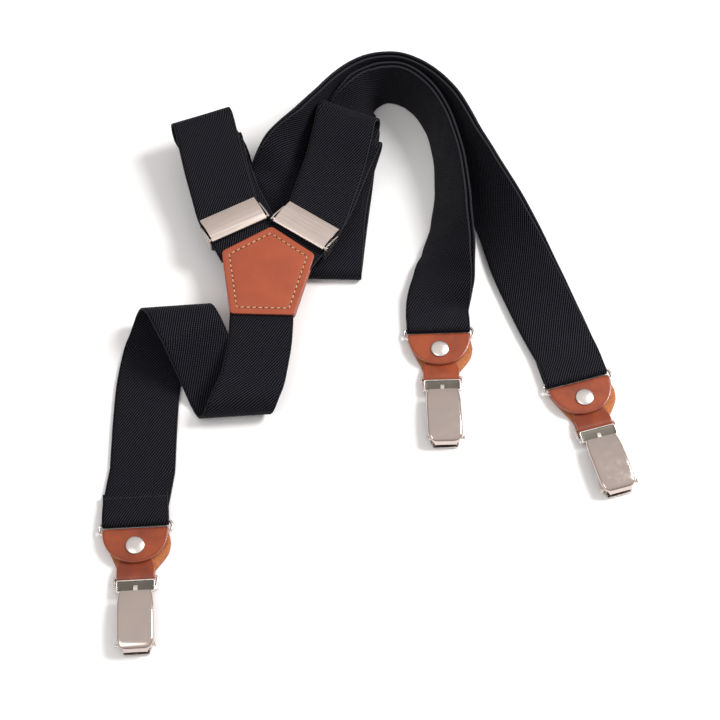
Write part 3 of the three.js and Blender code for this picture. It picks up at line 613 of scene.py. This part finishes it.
def webbing_material():
    # The weave attribute holds the way along the web, the way across it, and which face it is.
    m = Nodes("webbing_twill")
    split = m.node("ShaderNodeSeparateXYZ")
    m.join(m.attribute("weave", "Vector"), split.inputs[0])
    s, v, face = split.outputs[0], split.outputs[1], split.outputs[2]
    face = m.step(face, -0.2, 0.2, -1.0, 1.0)
    wobble = m.noise(m.attribute("weave", "Vector"), 90, 2)
    lean = m.math("MULTIPLY", m.math("MULTIPLY", v, face), RIB_LEAN[1])
    path = m.math("ADD", m.math("MULTIPLY", s, RIB_LEAN[0]), lean)
    path = m.math("ADD", path, m.math("MULTIPLY", wobble, 0.0003))
    rib = m.math("SINE", m.math("MULTIPLY", path, 2 * math.pi / RIB_PITCH))
    rib = m.math("ADD", m.math("MULTIPLY", rib, 0.5), 0.5)
    weft = m.math("SINE", m.math("MULTIPLY", s, 2 * math.pi / WEFT_PITCH))
    # each rib is a row of short floats
    row = m.math("MULTIPLY", m.math("MULTIPLY", v, face), -RIB_LEAN[0])
    row = m.math("ADD", m.math("MULTIPLY", s, RIB_LEAN[1]), row)
    row = m.math("ADD", row, m.math("MULTIPLY", m.noise(m.attribute("weave", "Vector"), 700, 1), 0.0012))
    knot = m.math("SINE", m.math("MULTIPLY", row, 2 * math.pi / FLOAT_PITCH))
    knot = m.math("ADD", m.math("MULTIPLY", knot, 0.5), 0.5)
    side = m.math("ABSOLUTE", v)
    field = m.step(side, *FIELD_EDGE, 1.0, 0.0)
    lip = m.step(side, *LIP_EDGE, 0.0, 1.0)
    crest = m.math("POWER", rib, 3.4)
    crest = m.math("MULTIPLY", crest, m.math("ADD", m.math("MULTIPLY", knot, 0.65), 0.35))
    crest = m.math("MULTIPLY", crest, field)
    patch = m.noise(m.place(), 60, 3)
    dark = m.mix(patch, (0.0008, 0.0008, 0.0013), (0.0016, 0.0016, 0.0024))
    colour = m.mix(crest, dark, (0.045, 0.045, 0.06))
    lipped = m.math("MULTIPLY", lip, m.math("ADD", m.math("MULTIPLY", weft, 0.3), 0.6))
    colour = m.mix(lipped, colour, (0.034, 0.034, 0.041))
    rib_field = m.math("MULTIPLY", rib, field)
    height = m.math("ADD", rib_field, m.math("MULTIPLY", knot, 0.2))
    normal = m.bump(height, 0.0002, 0.8)
    fuzz = m.noise(m.place(), 2600, 2)
    normal = m.bump(fuzz, 0.00005, 0.4, normal)
    rough = m.step(patch, 0.3, 0.7, 0.6, 0.72)
    return m.finish(colour, rough, normal, Sheen_Weight=0.025, Sheen_Roughness=0.4, Specular_IOR_Level=0.04)


FLESH = (0.62, 0.22, 0.075)
FLESH_SHADE = (0.55, 0.5, 0.45)


# The rim attribute holds the way in from the cut edge, and the flesh attribute is 1 on the rough side.
def leather_material(name, light, deep, edge, gloss):
    m = Nodes(name)
    place = m.place()
    cloud = m.noise(place, 55, 4, 0.55)
    fine = m.noise(place, 420, 4, 0.6)
    colour = m.mix(m.step(cloud, 0.35, 0.68), deep, light)
    colour = m.mix(m.math("MULTIPLY", fine, 0.28), colour, deep)
    rim = m.attribute("rim")
    worn = m.step(rim, 0.0004, 0.0016, 1.0, 0.0)
    colour = m.mix(m.math("MULTIPLY", worn, 0.45), colour, deep)
    painted = m.step(rim, 0.00012, 0.00042, 1.0, 0.0)
    colour = m.mix(painted, colour, edge)
    inside = m.attribute("flesh")
    nap = m.noise(place, 1500, 5, 0.7)
    shade = tuple(c * k for c, k in zip(FLESH, FLESH_SHADE))
    suede = m.mix(m.step(nap, 0.35, 0.7), shade, FLESH)
    colour = m.mix(inside, colour, suede)
    grain = m.cells(place, 1500)
    pores = m.cells(place, 640)
    height = m.math("ADD", m.math("MULTIPLY", grain, 0.6), m.math("MULTIPLY", pores, 0.5))
    height = m.math("ADD", height, m.math("MULTIPLY", m.noise(place, 130, 3), 1.2))
    normal = m.bump(height, 0.00009, 0.55)
    fibre = m.math("MULTIPLY", nap, inside)
    normal = m.bump(fibre, 0.0006, 0.9, normal)
    rough = m.step(cloud, 0.3, 0.7, gloss + 0.1, gloss)
    rough = m.math("ADD", rough, m.math("MULTIPLY", inside, 0.5), True)
    rough = m.math("ADD", rough, m.math("MULTIPLY", worn, -0.06), True)
    return m.finish(colour, rough, normal, Specular_IOR_Level=0.45, Coat_Weight=0.12, Coat_Roughness=0.3)


def metal_material(name, tone, rough, brushed=None, scratch=0.5, angle=0.0):
    m = Nodes(name)
    place = m.place()
    blot = m.noise(place, 90, 3)
    warm = tuple(c * k for c, k in zip(tone, (1.0, 0.955, 0.92)))
    cool = tuple(c * k for c, k in zip(tone, (0.965, 0.93, 0.915)))
    colour = m.mix(m.step(blot, 0.35, 0.65), cool, warm)
    if brushed:
        turn = m.node("ShaderNodeMapping")
        m.join(place, turn.inputs["Vector"])
        turn.inputs["Rotation"].default_value = (0, 0, -angle)
        lines = m.noise(turn.outputs[0], 900, 3, 0.6, (0.03, 1.0, 1.0))
        colour = m.mix(m.math("MULTIPLY", m.step(lines, 0.35, 0.65), 0.35), colour, cool)
        normal = m.bump(lines, brushed)
        roughness = m.step(lines, 0.3, 0.7, rough, rough + 0.14)
    else:
        swirl = m.noise(place, 380, 4, 0.65)
        normal = m.bump(swirl, 0.000012, scratch)
        roughness = m.step(m.noise(place, 240, 4, 0.6), 0.35, 0.75, rough, rough + 0.12)
    return m.finish(colour, roughness, normal, Metallic=1.0)


def plain_material(name, low, high, scale, rough, depth=0.00005, **values):
    m = Nodes(name)
    place = m.place()
    spots = m.noise(place, scale, 3)
    colour = m.mix(m.step(spots, 0.35, 0.65), low, high)
    normal = m.bump(m.noise(place, scale * 6, 3), depth, 0.6)
    return m.finish(colour, m.step(spots, 0.3, 0.7, rough, rough + 0.1), normal, **values)


WEB = webbing_material()
YOKE_SKIN = leather_material(
    "yoke_leather", light=(0.35, 0.069, 0.025), deep=(0.3, 0.055, 0.02),
    edge=(0.24, 0.045, 0.018), gloss=0.42,
)
TAB_SKIN = leather_material(
    "tab_leather", light=(0.31, 0.06, 0.017), deep=(0.17, 0.028, 0.009),
    edge=(0.33, 0.1, 0.066), gloss=0.3,
)
NICKEL = metal_material("nickel", (0.76, 0.71, 0.69), 0.2)
# a darker copy of the nickel for the clip covers: painted shade standing in for the darker reflections on
# them
COVER_PAINTED_SHADE = metal_material("nickel_cover_painted_shade", (0.62, 0.55, 0.52), 0.12, scratch=0.35)
# nickel coloured near black: painted shade for the floor recessed inside the bail box
SHADE_PAINTED_METAL = metal_material("nickel_painted_shade", (0.16, 0.15, 0.13), 0.4)
# a lighter copy of the nickel: painted highlight on the box rims and the tabs in the box floor, also used
# for the rivet caps
PALE_NICKEL_AND_HIGHLIGHT = metal_material("nickel_pale_and_highlight", (0.86, 0.84, 0.83), 0.22, scratch=1.0)
THREAD = plain_material(
    "cream_thread", (0.46, 0.25, 0.125), (0.6, 0.38, 0.22), 1400, 0.6, 0.0001, Sheen_Weight=0.1,
)
# almost black brown: painted shade inside the stitch holes
HOLE_SHADE = plain_material("stitch_hole_shade", (0.06, 0.014, 0.006), (0.1, 0.024, 0.01), 900, 0.8)
BLACK_THREAD = plain_material(
    "black_thread", (0.004, 0.004, 0.005), (0.011, 0.011, 0.013), 1400, 0.7, 0.0001,
)
RUBBER = plain_material("pad_rubber", (0.016, 0.016, 0.017), (0.03, 0.03, 0.032), 800, 0.7)


# ---------------------------------------------------------------- straps
def rides(obj, body, slot, *nodes):
    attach(obj, body)
    if nodes:
        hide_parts(*nodes)
    return obj


back_run = back_path()
right_run = front_path(
    "right", "left", RIGHT_FRONT, RIGHT_LOOP_TOP, RIGHT_BACK, RIGHT_TURN, INNER_ARCH,
    RIGHT_LOWER, RIGHT_LOWER_TURN,
)
left_run = front_path(
    "left", "right", LEFT_FRONT, LEFT_LOOP_TOP, LEFT_BACK, LEFT_TURN, OUTER_ARCH,
    LEFT_LOWER, LEFT_LOWER_TURN,
)
for name, run, rests in (
    ("back_web", back_run, ["yoke_back_leather", "ring_back"]),
    ("right_web", right_run, ["slider_frame_right", "ring_left"]),
    ("left_web", left_run, ["slider_frame_left", "ring_right"]),
):
    web, length = web_object(name, run, WEB)
    rides(web, "straps", "webbing", name.replace("web", "strap"))


# ---------------------------------------------------------------- leather yoke
YOKE = [(-49.6, 74.6), (-77, 58), (-71, 18), (-35.8, 17), (-25, 56)]


def inset_ring(inset, corner, segments=5):
    n = len(YOKE)
    middle = Vector((sum(p[0] for p in YOKE) / n, sum(p[1] for p in YOKE) / n))
    lines = []
    for i in range(n):
        a, b = Vector(YOKE[i]), Vector(YOKE[(i + 1) % n])
        along = (b - a).normalized()
        inward = Vector((-along.y, along.x))
        if inward.dot(middle - a) < 0:
            inward = -inward
        lines.append((a + inward * inset, along))
    corners = []
    for i in range(n):
        (p, d), (q, e) = lines[i - 1], lines[i]
        cross = d.x * e.y - d.y * e.x
        t = ((q.x - p.x) * e.y - (q.y - p.y) * e.x) / cross
        corners.append(p + d * t)
    return rounded_outline(corners, corner, segments)


STITCH_INSET = 4.0
STITCH_PITCH = 3.3
STITCH_LENGTH = 2.2
STITCH_R = 0.32
STITCH_LEAN = 0.16
HOLE_R = 0.42


def yoke_skin(name, middle_z, side):
    h = LEATHER_T / 2
    profile = [
        (16, -h), (8, -h), (0.5, -h), (0.14, -h + 0.13), (0, -h + 0.4), (0, h - 0.42), (0.13, h - 0.14),
        (0.42, h - 0.02), (1.2, h), (2.6, h - 0.01), (3.3, h - 0.09), (3.8, h - 0.22), (4.2, h - 0.22),
        (4.7, h - 0.09), (5.6, h), (8, h + 0.06), (12, h + 0.1), (16, h + 0.11),
    ]
    rings = []
    rim = []
    for inset, z in profile:
        ring = inset_ring(inset, max(0.5, 2.2 - inset * 0.35))
        rings.append([Vector((p.x, p.y, middle_z + side * z)) for p in ring])
        rim += [inset * MM] * len(ring)
    verts, faces = loft(rings)
    return new_object(name, verts, faces, YOKE_SKIN, {"rim": ("FLOAT", rim)}, angle=60)


# Evenly spaced places on a closed path, each with the direction there.
def along_path(points, pitch):
    points = points + points[:1]
    total = sum((b - a).length for a, b in zip(points, points[1:]))
    count = round(total / pitch)
    out = []
    gone, want = 0.0, total / count / 2
    for a, b in zip(points, points[1:]):
        length = (b - a).length
        while want <= gone + length and len(out) < count:
            out.append((a.lerp(b, (want - gone) / length), (b - a).normalized()))
            want += total / count
        gone += length
    return out


# One stitch: the way along it as a share of its half length, and the share of its radius.
STITCH_SHAPE = ((-1, 0.25), (-0.9, 0.7), (-0.6, 0.95), (0, 1.05), (0.6, 0.95), (0.9, 0.7), (1, 0.25))


def capsule(centre, along, up, length, radius, flat=0.8, sides=8):
    across = up.cross(along).normalized()
    rings = []
    for f, r in STITCH_SHAPE:
        dip = -0.25 * radius * f * f
        c = centre + along * (f * length / 2) + up * dip
        ring = []
        for k in range(sides):
            a = 2 * math.pi * k / sides
            ring.append(c + across * (r * radius * math.cos(a)) + up * (r * radius * flat * math.sin(a)))
        rings.append(ring)
    return loft(rings)


def merged(parts):
    verts, faces = [], []
    for v, f in parts:
        faces += [tuple(i + len(verts) for i in face) for face in f]
        verts += v
    return verts, faces


def dimple(centre, up, along, radius, sides=10):
    across = up.cross(along).normalized()
    rings = []
    for r, h in ((1.0, -0.1), (1.0, 0.02), (0.7, 0.03), (0.3, -0.06)):
        ring = []
        for k in range(sides):
            a = 2 * math.pi * k / sides
            ring.append(centre + (across * math.cos(a) + along * math.sin(a)) * (r * radius) + up * h)
        rings.append(ring)
    return loft(rings)


front_z = YOKE_Z + WEB_T / 2 + GAP + LEATHER_T / 2
back_z = YOKE_Z - WEB_T / 2 - GAP - LEATHER_T / 2
rides(yoke_skin("yoke_front_skin", front_z, 1), "straps", "leather", "yoke_front_leather")
rides(yoke_skin("yoke_back_skin", back_z, -1), "straps", "leather", "yoke_back_leather")
for tag, side, level in (("front", 1, front_z), ("back", -1, back_z)):
    up = Vector((0, 0, side))
    stitch_z = level + side * (LEATHER_T / 2 - 0.12)
    line = [Vector((p.x, p.y, stitch_z)) for p in inset_ring(STITCH_INSET, 0.9)]
    threads, holes = [], []
    for c, along in along_path(line, STITCH_PITCH):
        lean = (along + up.cross(along) * STITCH_LEAN).normalized()
        threads.append(capsule(c + up * 0.08, lean, up, STITCH_LENGTH, STITCH_R))
        for end in (-1, 1):
            holes.append(dimple(c + lean * (end * STITCH_LENGTH * 0.6), up, along, HOLE_R))
    thread_obj = new_object(f"yoke_stitches_{tag}", *merged(threads), THREAD)
    # the shallow dimples are coloured as painted shade in the stitch holes
    hole_obj = new_object(f"yoke_stitch_holes_{tag}", *merged(holes), HOLE_SHADE)
    rides(thread_obj, "straps", "leather")
    rides(hole_obj, "straps", "leather")


# ---------------------------------------------------------------- copies of rigid CAD nodes
SHARP_ANGLE = 35


def refined(node, material, body, slot, bevel):
    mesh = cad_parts[node].data.copy()
    mesh.name = node + "_finish"
    work = bmesh.new()
    work.from_mesh(mesh)
    bmesh.ops.remove_doubles(work, verts=work.verts, dist=2e-6)
    flat = math.radians(1.0)
    bmesh.ops.dissolve_limit(work, angle_limit=flat, verts=work.verts, edges=work.edges)
    work.to_mesh(mesh)
    work.free()
    mesh.materials.clear()
    mesh.materials.append(material)
    obj = bpy.data.objects.new(node + "_finish", mesh)
    scene.collection.objects.link(obj)
    smooth_by_angle(mesh, SHARP_ANGLE)
    cut = obj.modifiers.new("edges", "BEVEL")
    cut.width = bevel * MM
    cut.segments = 2
    cut.limit_method = "ANGLE"
    cut.angle_limit = math.radians(SHARP_ANGLE)
    return rides(obj, body, slot, node)


for side, turn in SLIDER_TURN.items():
    plate = metal_material(
        f"slider_plate_{side}", (0.74, 0.66, 0.62), 0.3, brushed=0.00003, angle=math.radians(turn),
    )
    refined(f"slider_lever_{side}", plate, f"slider_lever_{side}", "nickel", 0.25)
    refined(f"slider_frame_{side}", NICKEL, "straps", "nickel", 0.12)
    refined(f"slider_pin_{side}", NICKEL, "straps", "nickel", 0.12)


# ---------------------------------------------------------------- clip ends
def wire_loop(half_top, half_low, y0, y1, z, r, corner, sides=16, arc=8):
    corners = [Vector(p) for p in ((half_low, y0), (half_top, y1), (-half_top, y1), (-half_low, y0))]
    path = rounded_outline(corners, corner, arc)
    rings = []
    for i, here in enumerate(path):
        along = (path[(i + 1) % len(path)] - path[i - 1]).normalized()
        out = Vector((along.y, -along.x, 0))
        ring = []
        for k in range(sides):
            a = 2 * math.pi * k / sides
            ring.append(Vector((*here, z)) + out * (r * math.cos(a)) + Vector((0, 0, r * math.sin(a))))
        rings.append(ring)
    return loft(rings, endless=True)


def rounded_rectangle(half, y0, y1, corner, z, arc=5):
    corners = [Vector(p) for p in ((half, y0), (half, y1), (-half, y1), (-half, y0))]
    return [Vector((p.x, p.y, z)) for p in rounded_outline(corners, corner, arc)]


def box_rim():
    low, high = BOX_Z
    y0, y1 = BOX_Y
    profile = [
        (0, low), (0, high - 0.16), (0.05, high - 0.05), (0.16, high), (0.44, high), (0.55, high - 0.05),
        (0.6, high - 0.16), (0.6, low),
    ]
    rings = []
    for inset, z in profile:
        corner = max(0.5, 1.2 - inset * 0.6)
        rings.append(rounded_rectangle(BOX_HALF - inset, y0 + inset, y1 - inset, corner, z))
    return loft(rings, endless=True)


def box_floor():
    y0, y1 = BOX_Y
    deepest = 2.1
    rings = []
    for inset, rise in ((3, 0.02), (0.58, 0.02), (0.58, 0.28), (0.9, 0.3), (1.4, 0.22), (deepest, 0.2)):
        y_inset = min(inset, deepest)
        half = BOX_HALF - inset
        rings.append(rounded_rectangle(half, y0 + y_inset, y1 - y_inset, 0.05, BOX_Z[0] + rise))
    return loft(rings)


def box_tab():
    # a tongue pressed up out of the floor, with a rolled end
    line = [(BOX_Y[0] + 0.5, 0.5), (-35.6, 0.62), (-34.5, 0.68), (-33.7, 0.62)]
    line += [(-33.3, 0.46), (-33.2, 0.25)]
    rings = []
    for y, rise in line:
        z = BOX_Z[0] + rise
        row = [(-1.1, 0.16), (-0.95, 0.02), (0.95, 0.02), (1.1, 0.16), (1.1, 0.35), (-1.1, 0.35)]
        rings.append([Vector((x, y, z - down)) for x, down in row])
    return loft(rings)


def box_legs():
    parts = []
    for side in (-1, 1):
        rings = []
        for z, grow in ((RING_Z, 0), (4.6, 0), (4.9, 0.05)):
            y0, y1 = -36.2 + grow, -33.2 - grow
            corners = ((9.4, y0), (10.2, y0), (10.2, y1), (9.4, y1))
            rings.append([Vector((side * x, y, z)) for x, y in corners])
        parts.append(loft(rings))
    return merged(parts)


TAB_REACH = 17.2
TAB_HALF = 17.2


# The tab: a half round upper layer, over the ring, down to the bail, round it and back inside.
def tab_mesh():
    top_z = RING_Z + FOLD_R
    low_z = RING_Z - FOLD_R
    mid_z = low_z + TAB_T + GAP
    line = []
    for i in range(15):
        t = math.radians(5 + 85 * i / 14)
        y = -RING_HALF - TAB_REACH * math.cos(t)
        line.append((y, top_z, TAB_HALF * math.sin(t) ** 0.92, i / 14, 0))
    for i in range(1, 12):
        a = math.pi / 2 - math.pi * i / 12
        line.append((-RING_HALF + FOLD_R * math.cos(a), RING_Z + FOLD_R * math.sin(a), TAB_HALF, 1, 0))
    # the lower layer stands out a little more on one side: y, half width, sideways
    lower = ((-RING_HALF, TAB_HALF, 0), (-6, 17.1, 0.8), (-9, 16.8, 1.5), (-12, 16, 1.9), (-15, 14.9, 2.1))
    lower += ((-17.5, 13.6, 1.85), (-20, 12.1, 1.4), (-22, 10.9, 0.8), (-24, 9.9, 0.2))
    lower += ((-26, NECK_HALF, 0), (BAIL_TOP, NECK_HALF, 0))
    line += [(y, low_z, half, 1, x) for y, half, x in lower]
    for i in range(1, 12):
        a = -math.pi / 2 - math.pi * i / 12
        line.append((BAIL_TOP + FOLD_R * math.cos(a), RING_Z + FOLD_R * math.sin(a), NECK_HALF, 1, 0))
    rise = ((BAIL_TOP, top_z), (-26.8, top_z - 0.12), (-25.4, top_z - 0.5), (-23.5, mid_z + 0.75))
    line += [(y, z, NECK_HALF, 1, 0) for y, z in rise]
    for y, z, half in ((-21.5, mid_z + 0.2, 9.3), (-18.5, mid_z, 8.6), (-13, mid_z, 8.4), (-8, mid_z, 8.4)):
        line.append((y, z, half, 1, 0))
    rows = (-0.97, -0.9, -0.75, -0.5, -0.25, 0, 0.25, 0.5, 0.75, 0.9, 0.97)
    rings, rim, flesh = [], [], []
    for i, (y, z, half, full, sideways) in enumerate(line):
        a, b = line[max(0, i - 1)], line[min(len(line) - 1, i + 1)]
        along = Vector((0, b[0] - a[0], b[1] - a[1])).normalized()
        out = along.cross(Vector((-1, 0, 0))).normalized()
        centre = Vector((sideways, y, z))
        t = TAB_T / 2
        across = [(half - 0.35) * x / 0.97 for x in rows]
        top = [(x, t, 0) for x in across]
        low = [(x, -t, 1) for x in reversed(across)]
        right = [(half - 0.1, t - 0.2, 0), (half, t - 0.5, 0)]
        right += [(half, -t + 0.5, 0), (half - 0.1, -t + 0.15, 0)]
        left = [(-x, -h, f) for x, h, f in right]
        profile = top + right + low + left
        rings.append([centre + Vector((x, 0, 0)) + out * h for x, h, f in profile])
        for x, h, f in profile:
            gap = max(0.0, half - abs(x))
            if full < 1:
                far = math.hypot(x / TAB_HALF, (y + RING_HALF) / TAB_REACH)
                gap = min(gap, max(0.0, (1 - far) * TAB_HALF))
            gap = 0.0 if abs(h) < t - 0.01 else max(gap, 0.3)
            rim.append(gap * MM)
            flesh.append(float(f))
    return (*loft(rings), rim, flesh)


def lathe(points, segments=40):
    rings = []
    for r, z in points:
        ring = []
        for k in range(segments):
            a = 2 * math.pi * k / segments
            ring.append(Vector((r * math.cos(a), r * math.sin(a), z)))
        rings.append(ring)
    return loft(rings)


def interpolate(table, value):
    for (a, p), (b, q) in zip(table, table[1:]):
        if a <= value <= b:
            t = (value - a) / (b - a)
            return p + (q - p) * t
    return table[-1][1] if value > table[-1][0] else table[0][1]


CLIP_TOP = -37


def cover_mesh():
    # by the distance from the upper end of the cover: top height, half width, lower edge of the folded side
    height = [(0, 7.6), (3.5, 8.15), (7, 8.5), (15, 9.1), (23, 9.05), (27, 8.85), (29.2, 8.5)]
    height += [(30.6, 7.9), (31.4, 7.2), (31.9, 6.1), (32.2, 4.2)]
    width = [(0, 8.3), (0.7, 8.6), (3, 9.15), (7, 9.5), (25, 9.5), (27.5, 9.3), (29.4, 8.7)]
    width += [(30.5, 7.8), (31.2, 6.9), (31.6, 6.2), (32.2, 5.7)]
    skirt = [(0, 6.0), (8, 5.95), (21, 5.9), (24, 4.4), (26, 3.75), (28.9, 3.9), (29.8, 6.4), (31.3, 6.3)]
    skirt += [(31.6, 4.5), (32.2, 3.65)]
    spots = [0, 0.35, 1.2, 3, 5, 7, 10, 13, 16, 19, 21, 22.5, 24, 25.5, 27]
    spots += [28.3, 29.4, 30.3, 31, 31.6, 32, 32.2]
    rings = []
    for d in spots:
        top, half, low = interpolate(height, d), interpolate(width, d), interpolate(skirt, d)
        low = min(low, top - 0.5)
        bend = min(1.5, (top - low) * 0.7)
        right = [(half, low), (half, (low + top - bend) / 2)]
        for k in range(6):
            a = math.radians(90 * k / 5)
            right.append((half - bend + bend * math.cos(a), top - bend + bend * math.sin(a)))
        for x in (0.72, 0.5, 0.25):
            right.append((half * x, top + 0.12 * (1 - x * x)))
        row = right + [(0, top + 0.12)] + [(-x, z) for x, z in reversed(right)]
        rings.append([Vector((x, CLIP_TOP - d, z)) for x, z in row])
    n = len(rings[0])
    verts = [v for ring in rings for v in ring]
    faces = []
    for i in range(len(rings) - 1):
        for k in range(n - 1):
            faces.append((i * n + k, (i + 1) * n + k, (i + 1) * n + k + 1, i * n + k + 1))
    return verts, faces


def placed(mesh, place):
    verts, faces = mesh
    return [place @ v for v in verts], faces


# The rivet's cap: radius, and height from CAP_Z, which is just over the leather.
CAP = [
    (0.05, -1.5), (4.2, -0.6), (4.75, -0.05), (5, 0.15), (5, 0.38), (4.85, 0.62), (4.5, 0.86), (4.0, 1.02),
    (3.0, 1.3), (2.0, 1.46), (1.0, 1.55), (0.05, 1.58),
]
CAP_Z = RING_Z + FOLD_R + TAB_T / 2 + 0.1

tab_verts, tab_faces, tab_rim, tab_flesh = tab_mesh()
cap_mesh = lathe([(r, CAP_Z + z) for r, z in CAP])
ring_mesh = wire_loop(19.1, 19.1, -RING_HALF, RING_HALF, RING_Z, WIRE_R, 2.8)
bail_mesh = wire_loop(11.4, 10.2, BAIL_LOW, BAIL_TOP, RING_Z, WIRE_R, 1.6)

for end, place in ENDS.items():
    ring = new_object(f"ring_wire_{end}", *placed(ring_mesh, place), NICKEL)
    rides(ring, f"ring_{end}", "nickel", f"ring_{end}")
    bail = new_object(f"bail_wire_{end}", *placed(bail_mesh, place), NICKEL)
    rides(bail, f"bail_{end}", "nickel", f"bail_{end}")
    # the box floor's dark nickel is painted shade, and the box rim's and tab's pale nickel is painted
    # highlight
    for part, shape, finish in (
        ("rim", box_rim(), PALE_NICKEL_AND_HIGHLIGHT), ("floor", box_floor(), SHADE_PAINTED_METAL),
        ("tab", box_tab(), PALE_NICKEL_AND_HIGHLIGHT), ("legs", box_legs(), NICKEL),
    ):
        piece = new_object(f"bail_box_{part}_{end}", *placed(shape, place), finish)
        rides(piece, f"bail_{end}", "nickel")
    fields = {"rim": ("FLOAT", tab_rim), "flesh": ("FLOAT", tab_flesh)}
    tab = new_object(f"tab_skin_{end}", *placed((tab_verts, tab_faces), place), TAB_SKIN, fields, angle=60)
    rides(tab, f"tab_{end}", "leather", f"leather_tab_{end}")
    cap_place = place @ Matrix.Translation((0, RIVET_Y, 0))
    cap = new_object(f"rivet_cap_{end}", *placed(cap_mesh, cap_place), PALE_NICKEL_AND_HIGHLIGHT, angle=50)
    rides(cap, f"tab_{end}", "nickel", f"rivet_{end}")
    # the cover's darker nickel is painted shade
    cover = new_object(f"clip_cover_{end}", *placed(cover_mesh(), place), COVER_PAINTED_SHADE, angle=60)
    shell = cover.modifiers.new("sheet", "SOLIDIFY")
    shell.thickness = 0.8 * MM
    shell.offset = -1
    rides(cover, f"lever_{end}", "nickel", f"clip_lever_{end}")
    refined(f"clip_body_{end}", NICKEL, f"clip_{end}", "nickel", 0.1)
    refined(f"clip_pin_{end}", NICKEL, f"clip_{end}", "nickel", 0.15)
    refined(f"clip_pad_{end}", RUBBER, f"clip_{end}", "pad", 0.1)


# ---------------------------------------------------------------- seams of the back strap's sewn end
SEAM_STITCHES = 13
SEAM_PITCH = 2.6
SEAM_Y = 17
SEAM_Z = 4.17

seam = []
for k in range(SEAM_STITCHES):
    spot = Vector((SEAM_PITCH * (k - (SEAM_STITCHES - 1) / 2), SEAM_Y, SEAM_Z))
    seam.append(capsule(spot, Vector((1, 0, 0)), Vector((0, 0, 1)), 2.1, 0.26))
seam_obj = new_object("back_web_seams", *placed(merged(seam), ENDS["back"]), BLACK_THREAD)
rides(seam_obj, "straps", "webbing")


# ---------------------------------------------------------------- table and light
def table_top():
    m = Nodes("table_paper")
    place = m.place()
    tone = m.mix(m.noise(place, 3, 3), (0.9, 0.9, 0.905), (0.93, 0.93, 0.935))
    normal = m.bump(m.noise(place, 700, 3), 0.00003, 0.3)
    m.finish(tone, 0.7, normal, Specular_IOR_Level=0.2)
    half = 2.5
    mesh = bpy.data.meshes.new("table_top")
    corners = [(-half, -half, 0), (half, -half, 0), (half, half, 0), (-half, half, 0)]
    mesh.from_pydata(corners, [], [(0, 1, 2, 3)])
    mesh.materials.append(m.material)
    obj = bpy.data.objects.new("table_top", mesh)
    scene.collection.objects.link(obj)


def soft_light(name, spot, size, power, tint=(1, 1, 1)):
    data = bpy.data.lights.new(name, "AREA")
    data.shape = "DISK"
    data.size = size
    data.energy = power
    data.color = tint
    obj = bpy.data.objects.new(name, data)
    obj.location = spot
    obj.rotation_euler = (Vector((0, 0, 0)) - Vector(spot)).to_track_quat("-Z", "Y").to_euler()
    scene.collection.objects.link(obj)


# A studio that is bright overhead and darker towards the horizon.
def studio_sky():
    world = bpy.data.worlds.new("studio")
    world.use_nodes = True
    tree = world.node_tree
    background = tree.nodes["Background"]
    place = tree.nodes.new("ShaderNodeTexCoord")
    split = tree.nodes.new("ShaderNodeSeparateXYZ")
    rise = tree.nodes.new("ShaderNodeMapRange")
    rise.interpolation_type = "SMOOTHSTEP"
    rise.inputs["From Min"].default_value = -0.1
    rise.inputs["From Max"].default_value = 0.95
    mix = tree.nodes.new("ShaderNodeMix")
    mix.data_type = "RGBA"
    mix.inputs[6].default_value = (0.3, 0.28, 0.27, 1)
    mix.inputs[7].default_value = (0.88, 0.85, 0.83, 1)
    tree.links.new(place.outputs["Generated"], split.inputs[0])
    tree.links.new(split.outputs[2], rise.inputs["Value"])
    tree.links.new(rise.outputs["Result"], mix.inputs["Factor"])
    tree.links.new(mix.outputs[2], background.inputs["Color"])
    background.inputs["Strength"].default_value = 0.85
    scene.world = world


table_top()
soft_light("key", (0.95, 0.35, 1.05), 0.6, 22, (1.0, 0.985, 0.97))
soft_light("fill", (-0.6, -0.6, 1.2), 1.0, 4)
studio_sky()
